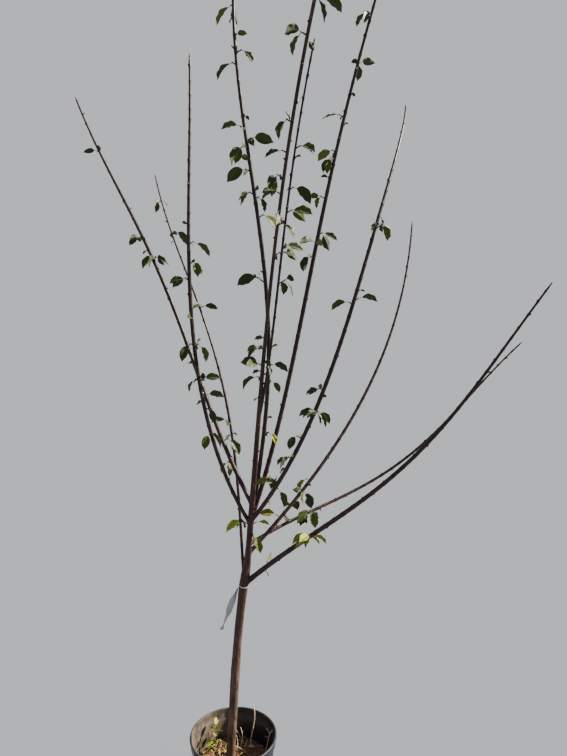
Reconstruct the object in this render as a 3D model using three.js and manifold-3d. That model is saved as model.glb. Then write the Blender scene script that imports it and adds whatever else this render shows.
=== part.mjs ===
// A potted young fruit tree: a slender trunk, eleven long whips and their scattered drooping leaves,
// standing in a black nursery pot with its fill of potting mix.
// Millimetres, +Z up, the front towards -Y. The origin is the middle of the pot's flat underside.
import * as THREE from 'three';
import { mergeVertices } from 'three/addons/utils/BufferGeometryUtils.js';
import Module from 'manifold-3d';

const wasm = await Module();
wasm.setup();

// Gap kept between pieces that touch.
const CLEARANCE = 0.3;

const POT = {
  height: 275,
  rimRadius: 145,
  collarRadius: 141,
  stepRadius: 137,
  footRadius: 113,
  footBevel: 3,
  wall: 2.2,
  base: 3,
  lipDepth: 8,
  collarDepth: 34,
  collarSlope: 4,
  drainHoles: 8,
  drainRadius: 8,
  drainRing: 100,
  drainSides: 10,
  sides: 32,
};

// The mix falls from a level seat under the trunk to its edge against the wall.
const MIX = { level: 185, edgeDrop: 14, seatRadius: 34, margin: 1, wallGap: 0.7, sides: 32 };
const MIX_SURFACE = [[112, 9], [92, 5], [70, 3], [48, 1]];

// Lumps of the mix: two waves across the pot, by their turn for each millimetre, and their height.
const LUMPS = { height: 3.5, acrossX: 0.11, acrossY: 0.13, phase: 1.3, slant: 0.07, slantShare: 0.6 };

// Compass headings in degrees: 0 is right, 90 is away, 180 is left and -90 is towards the front.
// Rise is the angle above level at a stem's root, middle and tip. Radii are at the same three places.
// Sway, in degrees, raises a stem's first half and lowers its second, or the other way round.
const TRUNK = {
  footX: -11,
  heading: [0, 0],
  rise: [86, 86, 80],
  length: 670,
  steps: 67,
  topHeight: 944,
  cutReach: 3,
};

// Trunk radius by height above the mix: root flare, slight swellings and the widening under the fork.
const TRUNK_GIRTH = [
  [0, 19], [12, 16.4], [35, 14.6], [110, 14.2], [210, 14.8], [300, 15.4], [400, 14], [540, 13.8],
  [600, 15.4], [630, 15.2], [670, 12.6], [720, 10.6], [748, 9.8],
];

const LEADER = {
  name: 'leader',
  heading: [-73, -74],
  rise: [71, 69, 43],
  length: 1620,
  radii: [11, 5.2, 4.2],
  handOver: 90,
  boughLength: 635,
  spurs: [
    [105, -50, 2], [150, 0, 1], [150, 180, 3], [650, 180, 1], [690, 200, 2], [740, 180, 2], [1010, 0, 1],
    [1090, 0, 1], [1120, -90, 1], [1170, 180, 2], [1210, 180, 2], [1270, 180, 1], [1340, 180, 1],
    [1520, 180, 2], [1590, 20, 2],
  ],
};

// The other whips leave the trunk or the leader at the height given.
// A spur is its distance along the whip, its heading and its number of leaves.
const WHIPS = [
  {
    name: 'low_right', height: 783, heading: [-19, -9], rise: [43, 45, 55], sway: -6, length: 1340,
    radii: [8.6, 6.2, 2.6], boughLength: 1340,
    spurs: [[110, 90, 1], [280, -60, 6]],
  },
  {
    name: 'second_right', height: 926, heading: [41, -13], rise: [16, 32, 45], sway: -9, length: 1300,
    radii: [5.8, 4.8, 2.4], boughLength: 1300,
    spurs: [[140, 30, 1], [250, -60, 6]],
  },
  {
    name: 'third_right', height: 890, heading: [25, 46], rise: [41, 55, 84], length: 1420,
    radii: [6.2, 5.2, 2.6], boughLength: 1420,
    spurs: [[160, 200, 1], [210, 60, 1], [270, -60, 2], [320, 200, 1]],
  },
  {
    name: 'fourth_right', height: 1010, heading: [-43, 79], rise: [46, 72, 43], length: 1570,
    radii: [6.6, 5.6, 2.8], boughLength: 400,
    spurs: [
      [145, -10, 1], [180, 180, 3], [270, 200, 2], [340, 180, 1], [420, -60, 6], [500, 180, 2],
      [770, 180, 1], [780, 0, 1], [1010, -30, 5],
    ],
  },
  {
    name: 'top_right', height: 1010, heading: [12, -54], rise: [71, 78, 62], length: 1740,
    radii: [7, 6.2, 3], boughLength: 840,
    spurs: [
      [860, 180, 2], [900, -110, 2], [930, 0, 2], [1040, 180, 2], [1160, 180, 2], [1180, 180, 1],
      [1280, 180, 1], [1430, 40, 2], [1560, 200, 2], [1690, -60, 3],
    ],
  },
  {
    name: 'front_left', height: 1000, heading: [196, 201], rise: [59, 87, 89], length: 1470,
    radii: [5.8, 5.8, 3], boughLength: 560,
    spurs: [
      [320, -90, 2], [400, -20, 1], [440, 0, 1], [490, 0, 1], [492, 180, 1], [600, 0, 1], [602, 180, 2],
      [680, -90, 1], [800, 180, 2], [850, 0, 2], [910, 0, 1],
    ],
  },
  {
    name: 'far_left', height: 1070, heading: [159, 148], rise: [59, 63, 63], sway: 6, length: 1590,
    radii: [6.6, 6, 2.6], boughLength: 850,
    spurs: [[140, 180, 2], [220, 0, 1], [870, -60, 4], [950, 200, 4], [1340, 180, 1]],
  },
  {
    name: 'rear_left', height: 785, heading: [161, 125], rise: [87, 69, 65], sway: 7, length: 1540,
    radii: [4.6, 3.8, 2.2], boughLength: 1150,
    spurs: [[205, 200, 1], [535, 180, 1], [945, 0, 1], [1265, 0, 1], [1415, 150, 1]],
  },
  {
    name: 'twin_leader', height: 860, heading: [-30, -172], rise: [84, 72, 94], length: 1750,
    radii: [6.8, 5.6, 3.6], boughLength: 880,
    spurs: [
      [440, 0, 1], [920, 200, 3], [1100, 0, 1], [1150, 0, 1], [1160, 180, 2], [1220, 180, 1],
      [1280, 180, 2], [1300, 0, 1], [1330, 180, 1], [1490, 180, 1], [1520, 0, 1], [1640, 120, 2],
      [1720, -60, 2],
    ],
  },
  {
    name: 'leader_fork', height: 1340, heading: [-59, -74], rise: [66, 73, 47], length: 1010,
    radii: [3.6, 3.1, 2], boughLength: 400,
    spurs: [
      [130, 0, 1], [180, 0, 1], [420, 20, 3], [520, 0, 2], [610, 0, 2], [670, 0, 1], [770, 0, 2],
    ],
  },
];

// Where a whip leaves its carrier it swells, and its first stretch is one solid with the carrier
// until it has this room from every other stem.
const COLLAR = { swell: 0.3, fade: 14, room: 2, reach: 260, step: 2, rings: 25 };

const BUD = { length: 14, share: 0.45 };

const LEAF = {
  length: [34, 58],
  widthShare: [0.56, 0.68],
  petiole: [8, 15],
  petioleRadius: 0.8,
  thickness: 1.1,
  waver: [-14, 14],
  firstRise: [15, -60],
  petioleLift: 20,
  droop: [15, 45],
  steepest: -88,
  fold: [6, 20],
  roll: [30, 75],
  steps: 10,
};

// The blade is widest nearer its base the smaller the skew, and fuller at both ends the smaller the point.
const BLADE = { skew: 0.82, point: 0.75 };

// A spur's leaves leave it near its tip, fanned out in degrees round its heading.
const SPUR = {
  length: [6, 13], clusterLength: [15, 26], rise: 32, radius: [2.1, 1.5], steps: 4,
  sunk: 1, leafStep: 2, fan: 300, widestSpread: 75,
};

// Room that a leaf keeps from limbs, from leaves of other pieces and from leaves of its own piece.
// It is tested at places on the blade: a share of its length and a side. A leaf that doesn't fit
// is turned and tried again, and is left out after the last try.
const LEAF_ROOM = {
  limb: 3, other: 11, own: 5, tries: 8, turn: 47,
  places: [[0.1, 0], [0.35, -0.85], [0.35, 0.85], [0.6, -0.85], [0.6, 0.85], [0.8, 0], [1, 0]],
};

// A seedling in the pot; each of its leaves is a distance up its stem and a heading.
const SPROUT = {
  foot: [-66, 52], heading: [150, 60], rise: [78, 82, 70], length: 72, radii: [1.6, 1.2, 0.9],
  leaves: [[20, 200], [27, -20], [34, 100], [42, 250], [50, 10], [57, 150], [64, -60], [70, 80]],
  steps: 12, spacing: 18, lift: 0.9,
};
const SPROUT_LEAF = { ...LEAF, length: [21, 29], petiole: [5, 9], firstRise: [40, 5], droop: [10, 40] };

const TAG = {
  height: 779, loopGap: 0.5, thickness: 0.8, loopDepth: 9, sides: 20, rows: 11,
  heading: [192, 204], rise: [-64, -68, -64], length: 150, neck: 9, width: 20, neckShare: 0.2, twist: 215,
};

const SEED = 977;
const PATH_STEPS = 60;
const TRUNK_SIDES = 14;
const BOUGH_SIDES = 8;
const TWIG_SIDES = 6;
const SPUR_SIDES = 4;
const RING_SPACING = 105;
const NEAREST_RING = 2;
const BEAD_SPACING = 8;

const radians = THREE.MathUtils.degToRad;
const lerp = THREE.MathUtils.lerp;

// Seeded numbers from 0 to 1, the same on every run.
function seededRandom(seed) {
  let state = Math.imul(seed, 2654435761) >>> 0;
  return () => {
    state = (Math.imul(state, 1664525) + 1013904223) >>> 0;
    return state / 4294967296;
  };
}

function direction(headingDegrees, riseDegrees) {
  const heading = radians(headingDegrees);
  const rise = radians(riseDegrees);
  return new THREE.Vector3(
    Math.cos(rise) * Math.cos(heading), Math.cos(rise) * Math.sin(heading), Math.sin(rise));
}

// The value at share u of a run that passes through three values at its start, middle and end.
function throughThree([start, middle, end], u) {
  return start * (1 - u) * (1 - 2 * u) + middle * 4 * u * (1 - u) + end * u * (2 * u - 1);
}

function alongThree([start, middle, end], u) {
  return u < 0.5 ? lerp(start, middle, u * 2) : lerp(middle, end, u * 2 - 1);
}

function alongTable(table, at) {
  for (let i = 1; i < table.length; i += 1) {
    const [from, low] = table[i - 1];
    const [to, high] = table[i];
    if (at <= to) return lerp(low, high, Math.max(0, (at - from) / (to - from)));
  }
  return table[table.length - 1][1];
}

// A stem's centre line, grown from its root in equal steps while its heading and rise turn.
class StemPath {
  constructor(points, step) {
    this.points = points;
    this.step = step;
    this.length = step * (points.length - 1);
  }

  static grow(root, { heading, rise, length, sway = 0 }, steps = PATH_STEPS) {
    const points = [root.clone()];
    for (let i = 0; i < steps; i += 1) {
      const u = (i + 0.5) / steps;
      const swayed = throughThree(rise, u) + sway * Math.sin(2 * Math.PI * u);
      const way = direction(lerp(heading[0], heading[1], u), swayed);
      points.push(points[i].clone().addScaledVector(way, length / steps));
    }
    return new StemPath(points, length / steps);
  }

  at(distance) {
    const place = THREE.MathUtils.clamp(distance / this.step, 0, this.points.length - 1);
    const index = Math.min(Math.floor(place), this.points.length - 2);
    return this.points[index].clone().lerp(this.points[index + 1], place - index);
  }

  tangent(distance) {
    const reach = this.step / 2;
    return this.at(distance + reach).sub(this.at(distance - reach)).normalize();
  }

  distanceAtHeight(height) {
    const index = this.points.findIndex((point) => point.z > height);
    const low = this.points[index - 1];
    const share = (height - low.z) / (this.points[index].z - low.z);
    return (index - 1 + share) * this.step;
  }
}

// Sideways directions carried along the line without twist, one pair for each distance.
function framesAlong(path, distances) {
  const frames = [];
  let side = new THREE.Vector3(0, 1, 0);
  for (const distance of distances) {
    const along = path.tangent(distance);
    side = side.clone().addScaledVector(along, -side.dot(along)).normalize();
    frames.push({ centre: path.at(distance), side, normal: new THREE.Vector3().crossVectors(side, along) });
  }
  return frames;
}

// Bends a unit geometry, whose y runs in equal rows from 0 to 1, along a path's distances.
function bendAlong(geometry, path, distances, scaleAt) {
  const frames = framesAlong(path, distances);
  const position = geometry.attributes.position;
  const point = new THREE.Vector3();
  for (let i = 0; i < position.count; i += 1) {
    const row = Math.round(position.getY(i) * (distances.length - 1));
    const { centre, side, normal } = frames[row];
    const [across, through] = scaleAt(distances[row]);
    point.copy(centre)
      .addScaledVector(side, position.getX(i) * across)
      .addScaledVector(normal, position.getZ(i) * through);
    position.setXYZ(i, point.x, point.y, point.z);
  }
  return geometry;
}

function evenDistances(from, to, spacing) {
  const count = Math.max(1, Math.round((to - from) / spacing));
  return Array.from({ length: count + 1 }, (_, i) => lerp(from, to, i / count));
}

// A closed tapering tube along part of a path.
function tube(path, from, to, radiusAt, sides, spacing, extraDistances = []) {
  const inside = extraDistances.filter(
    (distance) => distance > from + NEAREST_RING && distance < to - NEAREST_RING);
  const spaced = evenDistances(from, to, spacing)
    .filter((distance, i, all) => i === 0 || i === all.length - 1
      || inside.every((extra) => Math.abs(extra - distance) > spacing / 4));
  const distances = [...spaced, ...inside].sort((a, b) => a - b);
  const geometry = new THREE.CylinderGeometry(1, 1, 1, sides, distances.length - 1);
  geometry.translate(0, 0.5, 0);
  return bendAlong(geometry, path, distances, (distance) => [radiusAt(distance), radiusAt(distance)]);
}

// The closed solid of a geometry, with shared vertices merged and empty triangles dropped.
function solidOf(geometry) {
  const bare = geometry.clone();
  bare.deleteAttribute('normal');
  bare.deleteAttribute('uv');
  const merged = mergeVertices(bare, 1e-4);
  const index = merged.index.array;
  const triangles = [];
  for (let i = 0; i < index.length; i += 3) {
    const [a, b, c] = [index[i], index[i + 1], index[i + 2]];
    if (a !== b && b !== c && c !== a) triangles.push(a, b, c);
  }
  return new wasm.Manifold(new wasm.Mesh({
    numProp: 3,
    vertProperties: new Float32Array(merged.attributes.position.array),
    triVerts: new Uint32Array(triangles),
  }));
}

function geometryOf(solid) {
  const mesh = solid.getMesh();
  const geometry = new THREE.BufferGeometry();
  geometry.setAttribute('position', new THREE.BufferAttribute(new Float32Array(mesh.vertProperties), 3));
  geometry.setIndex(new THREE.BufferAttribute(new Uint32Array(mesh.triVerts), 1));
  geometry.computeVertexNormals();
  return geometry;
}

function joined(solids) {
  return solids.reduce((whole, solid) => whole.add(solid));
}

const MATERIALS = {
  bark: new THREE.MeshStandardMaterial({ color: 0x5a4038, roughness: 0.75, metalness: 0 }),
  whipBark: new THREE.MeshStandardMaterial({ color: 0x4a2c28, roughness: 0.6, metalness: 0 }),
  leaf: new THREE.MeshStandardMaterial({ color: 0x4b5d27, roughness: 0.55, metalness: 0 }),
  youngLeaf: new THREE.MeshStandardMaterial({ color: 0x93a53a, roughness: 0.55, metalness: 0 }),
  potPlastic: new THREE.MeshStandardMaterial({ color: 0x14151a, roughness: 0.45, metalness: 0 }),
  mix: new THREE.MeshStandardMaterial({ color: 0x4a3626, roughness: 0.95, metalness: 0 }),
  tagPaper: new THREE.MeshStandardMaterial({ color: 0xc9c8c4, roughness: 0.7, metalness: 0 }),
};

const tree = new THREE.Group();

function addPart(name, geometry, material) {
  const mesh = new THREE.Mesh(geometry, material);
  mesh.name = name;
  tree.add(mesh);
}

function ringProfile(pairs) {
  return pairs.map(([radius, height]) => new THREE.Vector2(radius, height));
}

// Radius of the pot's outer wall at a height up to its collar.
function potRadiusAt(height) {
  return lerp(POT.footRadius, POT.stepRadius, height / (POT.height - POT.collarDepth));
}

function makePot() {
  const collarFoot = POT.height - POT.collarDepth;
  const outside = [
    [0, 0], [POT.footRadius - POT.footBevel, 0], [POT.footRadius, POT.footBevel],
    [POT.stepRadius, collarFoot], [POT.collarRadius, collarFoot + POT.collarSlope],
    [POT.collarRadius, POT.height - POT.lipDepth], [POT.rimRadius, POT.height - POT.lipDepth],
    [POT.rimRadius, POT.height],
  ];
  const inside = [
    [POT.collarRadius - POT.wall, POT.height], [POT.collarRadius - POT.wall, collarFoot + POT.collarSlope],
    [POT.stepRadius - POT.wall, collarFoot], [POT.footRadius - POT.wall, POT.base + POT.footBevel],
    [POT.footRadius - POT.wall - POT.footBevel, POT.base], [0, POT.base],
  ];
  let pot = solidOf(new THREE.LatheGeometry(ringProfile([...outside, ...inside]), POT.sides)
    .rotateX(Math.PI / 2));
  for (let i = 0; i < POT.drainHoles; i += 1) {
    const angle = ((i + 0.5) / POT.drainHoles) * 2 * Math.PI;
    const hole = new THREE.CylinderGeometry(POT.drainRadius, POT.drainRadius, 4 * POT.base, POT.drainSides)
      .rotateX(Math.PI / 2)
      .translate(POT.drainRing * Math.cos(angle), POT.drainRing * Math.sin(angle), 0);
    pot = pot.subtract(solidOf(hole));
  }
  addPart('pot', geometryOf(pot), MATERIALS.potPlastic);
}

function mixLump(x, y) {
  const broad = Math.sin(x * LUMPS.acrossX + LUMPS.phase) * Math.cos(y * LUMPS.acrossY);
  return (broad + Math.sin((x + 2 * y) * LUMPS.slant) * LUMPS.slantShare) * LUMPS.height;
}

// Height of the mix's surface under a place outside the trunk's seat.
function mixHeightAt(x, y) {
  const drops = [[MIX.seatRadius, 0], ...MIX_SURFACE.toReversed()];
  return MIX.level - alongTable(drops, Math.hypot(x, y)) + mixLump(x, y);
}

// The mix fills the pot to a low mound, lumpy except for the level seat under the trunk.
function makeMix() {
  const innerRadius = (height) => potRadiusAt(height) - POT.wall - MIX.wallGap;
  const edgeHeight = MIX.level - MIX.edgeDrop;
  const floor = POT.base + CLEARANCE;
  const bevelTop = POT.base + 2 * POT.footBevel;
  const profile = ringProfile([
    [0, floor], [innerRadius(floor) - 2 * POT.footBevel, floor], [innerRadius(bevelTop), bevelTop],
    [innerRadius(edgeHeight), edgeHeight],
    ...MIX_SURFACE.map(([radius, drop]) => [radius, MIX.level - drop]),
    [MIX.seatRadius, MIX.level], [0, MIX.level],
  ]);
  const geometry = new THREE.LatheGeometry(profile, MIX.sides).rotateX(Math.PI / 2);
  const position = geometry.attributes.position;
  for (let i = 0; i < position.count; i += 1) {
    const [x, y, z] = [position.getX(i), position.getY(i), position.getZ(i)];
    const radius = Math.hypot(x, y);
    const onTop = z > edgeHeight + MIX.margin && radius > MIX.seatRadius + MIX.margin;
    if (onTop) position.setZ(i, z + mixLump(x, y));
  }
  addPart('potting_mix', geometryOf(solidOf(geometry)), MATERIALS.mix);
}

// The trunk and the leader share one centre line.
const trunkPath = StemPath.grow(
  new THREE.Vector3(TRUNK.footX, 0, MIX.level + CLEARANCE), TRUNK, TRUNK.steps);
const leaderPath = StemPath.grow(trunkPath.points[trunkPath.points.length - 1], LEADER, PATH_STEPS);

function trunkRadiusAt(distance) {
  return alongTable(TRUNK_GIRTH, distance);
}

// A stem's own taper, drawn in to a blunt bud at its tip.
function taperAt(stem, distance) {
  const toTip = Math.min(1, (stem.length - distance) / BUD.length);
  return alongThree(stem.radii, distance / stem.length) * lerp(BUD.share, 1, toTip);
}

// A whip swells into a collar at its root.
function whipRadiusAt(whip, distance) {
  return taperAt(whip, distance) * (1 + COLLAR.swell * Math.exp(-distance / COLLAR.fade));
}

// Just above the trunk the leader follows the trunk's girth, and then its own taper.
function leaderRadiusAt(distance) {
  const girthEnd = TRUNK_GIRTH[TRUNK_GIRTH.length - 1][0] - TRUNK.length;
  const share = THREE.MathUtils.clamp((distance - girthEnd) / LEADER.handOver, 0, 1);
  return lerp(trunkRadiusAt(TRUNK.length + distance), taperAt(LEADER, distance), share);
}

const trunkTop = leaderPath.distanceAtHeight(TRUNK.topHeight);
const leader = { ...LEADER, path: leaderPath, radiusAt: leaderRadiusAt, collar: trunkTop };

function whipPath(whip) {
  const onTrunk = whip.height < leaderPath.points[0].z;
  const carrier = onTrunk ? trunkPath : leaderPath;
  return StemPath.grow(carrier.at(carrier.distanceAtHeight(whip.height)), whip);
}

const whips = WHIPS.map((whip) => (
  { ...whip, path: whipPath(whip), radiusAt: (distance) => whipRadiusAt(whip, distance) }));

const stems = [
  { name: 'trunk', path: trunkPath, radiusAt: trunkRadiusAt },
  leader,
  ...whips,
];

// Every stem as spheres along its line, to keep limbs and leaves apart.
const stemBeads = stems.flatMap((stem) => (
  evenDistances(0, stem.path.length, BEAD_SPACING).map((distance) => (
    { stem, centre: stem.path.at(distance), radius: stem.radiusAt(distance) }))));

// Distance from a whip's root at which it stands clear of every other stem: its collar ends there.
function collarLength(whip) {
  let clear = 0;
  for (let distance = 0; distance < COLLAR.reach; distance += COLLAR.step) {
    const centre = whip.path.at(distance);
    const room = whip.radiusAt(distance) + COLLAR.room;
    const blocked = stemBeads.some((bead) => bead.stem.name !== whip.name
      && bead.centre.distanceTo(centre) < bead.radius + room);
    if (blocked) clear = distance + COLLAR.step;
  }
  return clear;
}

for (const whip of whips) whip.collar = collarLength(whip);

function collarOf(whip) {
  return solidOf(tube(whip.path, 0, whip.collar, whip.radiusAt, BOUGH_SIDES, COLLAR.rings));
}

// Whether a whip's collar belongs to the trunk, which ends a little above the main fork.
function leavesTrunk(whip) {
  return whip.height < TRUNK.topHeight;
}

// Levels the lowest ring of a leaning shaft, for its flat cut at the surface of the mix.
function cutLevel(geometry, height, reach) {
  const position = geometry.attributes.position;
  for (let i = 0; i < position.count; i += 1) {
    if (position.getZ(i) < height + reach) position.setZ(i, height);
  }
  return geometry;
}

function makeTrunk() {
  const girths = TRUNK_GIRTH.map(([distance]) => distance);
  const shaft = cutLevel(
    tube(trunkPath, 0, TRUNK.length, trunkRadiusAt, TRUNK_SIDES, RING_SPACING, girths),
    trunkPath.points[0].z, TRUNK.cutReach);
  const top = tube(leaderPath, 0, trunkTop, leaderRadiusAt, TRUNK_SIDES, COLLAR.rings);
  const collars = whips.filter(leavesTrunk).map(collarOf);
  addPart('trunk', geometryOf(joined([solidOf(shaft), solidOf(top), ...collars])), MATERIALS.bark);
}

// A bough's own length of its stem, from its collar to its cut, grown by an allowance all round.
function limbOf(stem, allowance) {
  const radiusAt = (distance) => stem.radiusAt(distance) + allowance;
  return solidOf(tube(
    stem.path, stem.collar + CLEARANCE, stem.boughLength, radiusAt, BOUGH_SIDES, RING_SPACING));
}

// The leader's bough carries the collars of the whips that leave it.
function makeLeaderBough() {
  const collars = whips.filter((whip) => !leavesTrunk(whip)).map(collarOf);
  addPart('bough_leader', geometryOf(joined([limbOf(leader, 0), ...collars])), MATERIALS.bark);
}

function makeBough(whip) {
  addPart(`bough_${whip.name}`, geometryOf(limbOf(whip, 0)), MATERIALS.whipBark);
}

// A leaf blade's half width, as a share of its greatest, at share t of its length.
function bladeShape(t) {
  return Math.max(0, Math.sin(Math.PI * t ** BLADE.skew)) ** BLADE.point;
}

// A leaf's place and bend, drawn from the seeded numbers in a fixed order.
function drawLeaf(random, start, heading, habit) {
  const pick = ([low, high]) => lerp(low, high, random());
  const length = pick(habit.length);
  const firstRise = pick(habit.firstRise);
  return {
    start,
    heading: heading + pick(habit.waver),
    length,
    width: length * pick(habit.widthShare),
    petiole: pick(habit.petiole),
    firstRise,
    lastRise: Math.max(habit.steepest, firstRise - pick(habit.droop)),
    fold: radians(pick(habit.fold)),
    roll: radians(pick(habit.roll)) * (random() < 0.5 ? -1 : 1),
  };
}

// The petiole runs from the spur into the blade's lower third, and the blade bends on from it.
function leafLine(leaf) {
  return StemPath.grow(leaf.start, {
    heading: [leaf.heading, leaf.heading],
    rise: [leaf.firstRise + LEAF.petioleLift, (leaf.firstRise + leaf.lastRise) / 2, leaf.lastRise],
    length: leaf.petiole + leaf.length,
  }, LEAF.steps);
}

// Directions across and out of the blade, rolled about its own line.
function bladeFrame(leaf, line, distance) {
  const along = line.tangent(distance);
  const level = direction(leaf.heading - 90, 0);
  const up = new THREE.Vector3().crossVectors(level, along).normalize();
  const across = level.clone().applyAxisAngle(along, leaf.roll);
  return { along, across, out: up.applyAxisAngle(along, leaf.roll) };
}

// A point of the blade at share t of its length: side runs from -1 to 1 across it, face is 1 on its
// upper face, -1 on its lower face and 0 at its edge. All meet at the tip.
function bladePoint(leaf, line, t, side, face) {
  const distance = leaf.petiole + leaf.length * t;
  const { across, out } = bladeFrame(leaf, line, distance);
  const half = (leaf.width / 2) * bladeShape(t) * side;
  const lift = t < 1 ? face * (LEAF.thickness / 2) : 0;
  return line.at(distance)
    .addScaledVector(across, half * Math.cos(leaf.fold))
    .addScaledVector(out, Math.abs(half) * Math.sin(leaf.fold) + lift);
}

function petiolePoint(leaf, line, distance, side, face) {
  const { across, out } = bladeFrame(leaf, line, distance);
  return line.at(distance)
    .addScaledVector(across, side * LEAF.petioleRadius)
    .addScaledVector(out, face * LEAF.petioleRadius);
}

// Shares of the blade's length at which its section is set, from its base to its tip.
const BLADE_ROWS = [0, 0.2, 0.5, 0.8, 1];

// A petiole that broadens into a thin blade folded along its midrib, as one closed four-sided solid.
function leafSolid(leaf) {
  const line = leafLine(leaf);
  const geometry = new THREE.CylinderGeometry(1, 1, 1, 4, BLADE_ROWS.length).translate(0, 0.5, 0);
  const position = geometry.attributes.position;
  for (let i = 0; i < position.count; i += 1) {
    const across = Math.round(position.getX(i));
    const out = Math.round(position.getZ(i));
    const row = Math.round(position.getY(i) * BLADE_ROWS.length);
    const point = row < 2
      ? petiolePoint(leaf, line, row * leaf.petiole, across, out)
      : bladePoint(leaf, line, BLADE_ROWS[row - 1], across, out);
    position.setXYZ(i, point.x, point.y, point.z);
  }
  return solidOf(geometry);
}

function leafBeads(leaf) {
  const line = leafLine(leaf);
  return LEAF_ROOM.places.map(([t, side]) => bladePoint(leaf, line, t, side, 0));
}

const placedLeaves = [];

function leafFits(beads, owner) {
  const clearOfLimbs = stemBeads.every((bead) => beads.every(
    (point) => point.distanceTo(bead.centre) > bead.radius + LEAF_ROOM.limb));
  return clearOfLimbs && placedLeaves.every((other) => {
    const room = other.owner === owner ? LEAF_ROOM.own : LEAF_ROOM.other;
    return other.beads.every((bead) => beads.every((point) => point.distanceTo(bead) > room));
  });
}

// A spur: a short side shoot whose leaves fan out round its heading.
function growSpur(random, stem, [distance, heading, count], owner) {
  const root = stem.path.at(distance);
  const range = count > 2 ? SPUR.clusterLength : SPUR.length;
  const length = stem.radiusAt(distance) + lerp(range[0], range[1], random());
  const rise = [SPUR.rise, SPUR.rise, SPUR.rise];
  const path = StemPath.grow(root, { heading: [heading, heading], rise, length }, SPUR.steps);
  const spread = Math.min(SPUR.widestSpread, SPUR.fan / count);
  const leaves = [];
  for (let i = 0; i < count; i += 1) {
    const start = path.at(length - SPUR.sunk - (i % 3) * SPUR.leafStep);
    const fanned = heading + (i - (count - 1) / 2) * spread;
    const leaf = drawLeaf(random, start, fanned, LEAF);
    for (let attempt = 0; attempt < LEAF_ROOM.tries; attempt += 1) {
      const beads = leafBeads(leaf);
      if (leafFits(beads, owner)) {
        placedLeaves.push({ owner, beads });
        leaves.push(leaf);
        break;
      }
      leaf.heading += LEAF_ROOM.turn;
    }
  }
  return { path, length, leaves };
}

function spurSolids({ path, length, leaves }) {
  const radiusAt = (distance) => lerp(SPUR.radius[0], SPUR.radius[1], distance / length);
  const shoot = solidOf(tube(path, 0, length, radiusAt, SPUR_SIDES, length));
  return [shoot, ...leaves.map(leafSolid)];
}

// Spurs on the bough are pieces of their own; those beyond it are fused to the whip's leafy end.
function makeFoliage(stem, index) {
  const random = seededRandom(SEED + index);
  const far = [];
  let count = 0;
  for (const spur of stem.spurs) {
    const onBough = spur[0] < stem.boughLength;
    if (onBough) count += 1;
    const owner = onBough ? `spur_${stem.name}_${count}` : `foliage_${stem.name}`;
    const grown = growSpur(random, stem, spur, owner);
    if (!onBough) {
      far.push(...spurSolids(grown));
    } else if (grown.leaves.length) {
      const room = limbOf(stem, CLEARANCE / Math.cos(Math.PI / BOUGH_SIDES));
      addPart(owner, geometryOf(largest(joined(spurSolids(grown)).subtract(room))), MATERIALS.leaf);
    }
  }
  if (stem.boughLength >= stem.length) return;
  const whipEnd = solidOf(tube(
    stem.path, stem.boughLength + CLEARANCE, stem.length, stem.radiusAt, TWIG_SIDES, RING_SPACING));
  addPart(`foliage_${stem.name}`, geometryOf(largest(joined([whipEnd, ...far]))), MATERIALS.leaf);
}

// The biggest piece of a solid, where a cut leaves crumbs.
function largest(solid) {
  const pieces = solid.decompose();
  return pieces.reduce((best, piece) => (piece.volume() > best.volume() ? piece : best));
}

// A seedling in the pot, behind and left of the trunk.
function makeSprout() {
  const random = seededRandom(SEED + stems.length);
  const [x, y] = SPROUT.foot;
  const root = new THREE.Vector3(x, y, mixHeightAt(x, y) + SPROUT.lift);
  const path = StemPath.grow(root, SPROUT, SPROUT.steps);
  const radiusAt = (distance) => alongThree(SPROUT.radii, distance / SPROUT.length);
  const solids = [solidOf(tube(path, 0, SPROUT.length, radiusAt, SPUR_SIDES, SPROUT.spacing))];
  for (const [distance, heading] of SPROUT.leaves) {
    solids.push(leafSolid(drawLeaf(random, path.at(distance), heading, SPROUT_LEAF)));
  }
  addPart('sprout', geometryOf(largest(joined(solids))), MATERIALS.youngLeaf);
}

// A blank strip of paper with a narrow neck at its upper end, twisting along its length.
function tagStrip(path) {
  const strip = new THREE.BoxGeometry(1, 1, 1, 1, TAG.rows, 1).translate(0, 0.5, 0);
  const position = strip.attributes.position;
  for (let i = 0; i < position.count; i += 1) {
    const share = position.getY(i);
    const turn = radians(TAG.twist * share);
    const width = lerp(TAG.neck, TAG.width, THREE.MathUtils.smoothstep(share, 0, TAG.neckShare));
    const across = position.getX(i) * width;
    const through = position.getZ(i) * TAG.thickness;
    position.setX(i, across * Math.cos(turn) - through * Math.sin(turn));
    position.setZ(i, across * Math.sin(turn) + through * Math.cos(turn));
  }
  return bendAlong(strip, path, evenDistances(0, TAG.length, TAG.length / TAG.rows), () => [1, 1]);
}

// The tag: a loop round the trunk just under the fork, and its free end hanging to the left.
function makeTag() {
  const distance = trunkPath.distanceAtHeight(TAG.height);
  const centre = trunkPath.at(distance);
  const inner = trunkRadiusAt(distance) + TAG.loopGap + CLEARANCE;
  const outer = inner + TAG.thickness;
  const half = TAG.loopDepth / 2;
  const band = new THREE.LatheGeometry(ringProfile([
    [inner, -half], [outer, -half], [outer, half], [inner, half], [inner, -half],
  ]), TAG.sides);
  const turn = new THREE.Quaternion().setFromUnitVectors(
    new THREE.Vector3(0, 1, 0), trunkPath.tangent(distance));
  band.applyQuaternion(turn).translate(centre.x, centre.y, centre.z);
  const start = centre.clone().addScaledVector(direction(TAG.heading[0], 0), inner + TAG.thickness / 2);
  const strip = tagStrip(StemPath.grow(start, TAG, TAG.rows));
  addPart('tag', geometryOf(solidOf(band).add(solidOf(strip))), MATERIALS.tagPaper);
}

makePot();
makeMix();
makeTrunk();
makeLeaderBough();
whips.forEach(makeBough);
[leader, ...whips].forEach(makeFoliage);
makeSprout();
makeTag();

export default tree;
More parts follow.
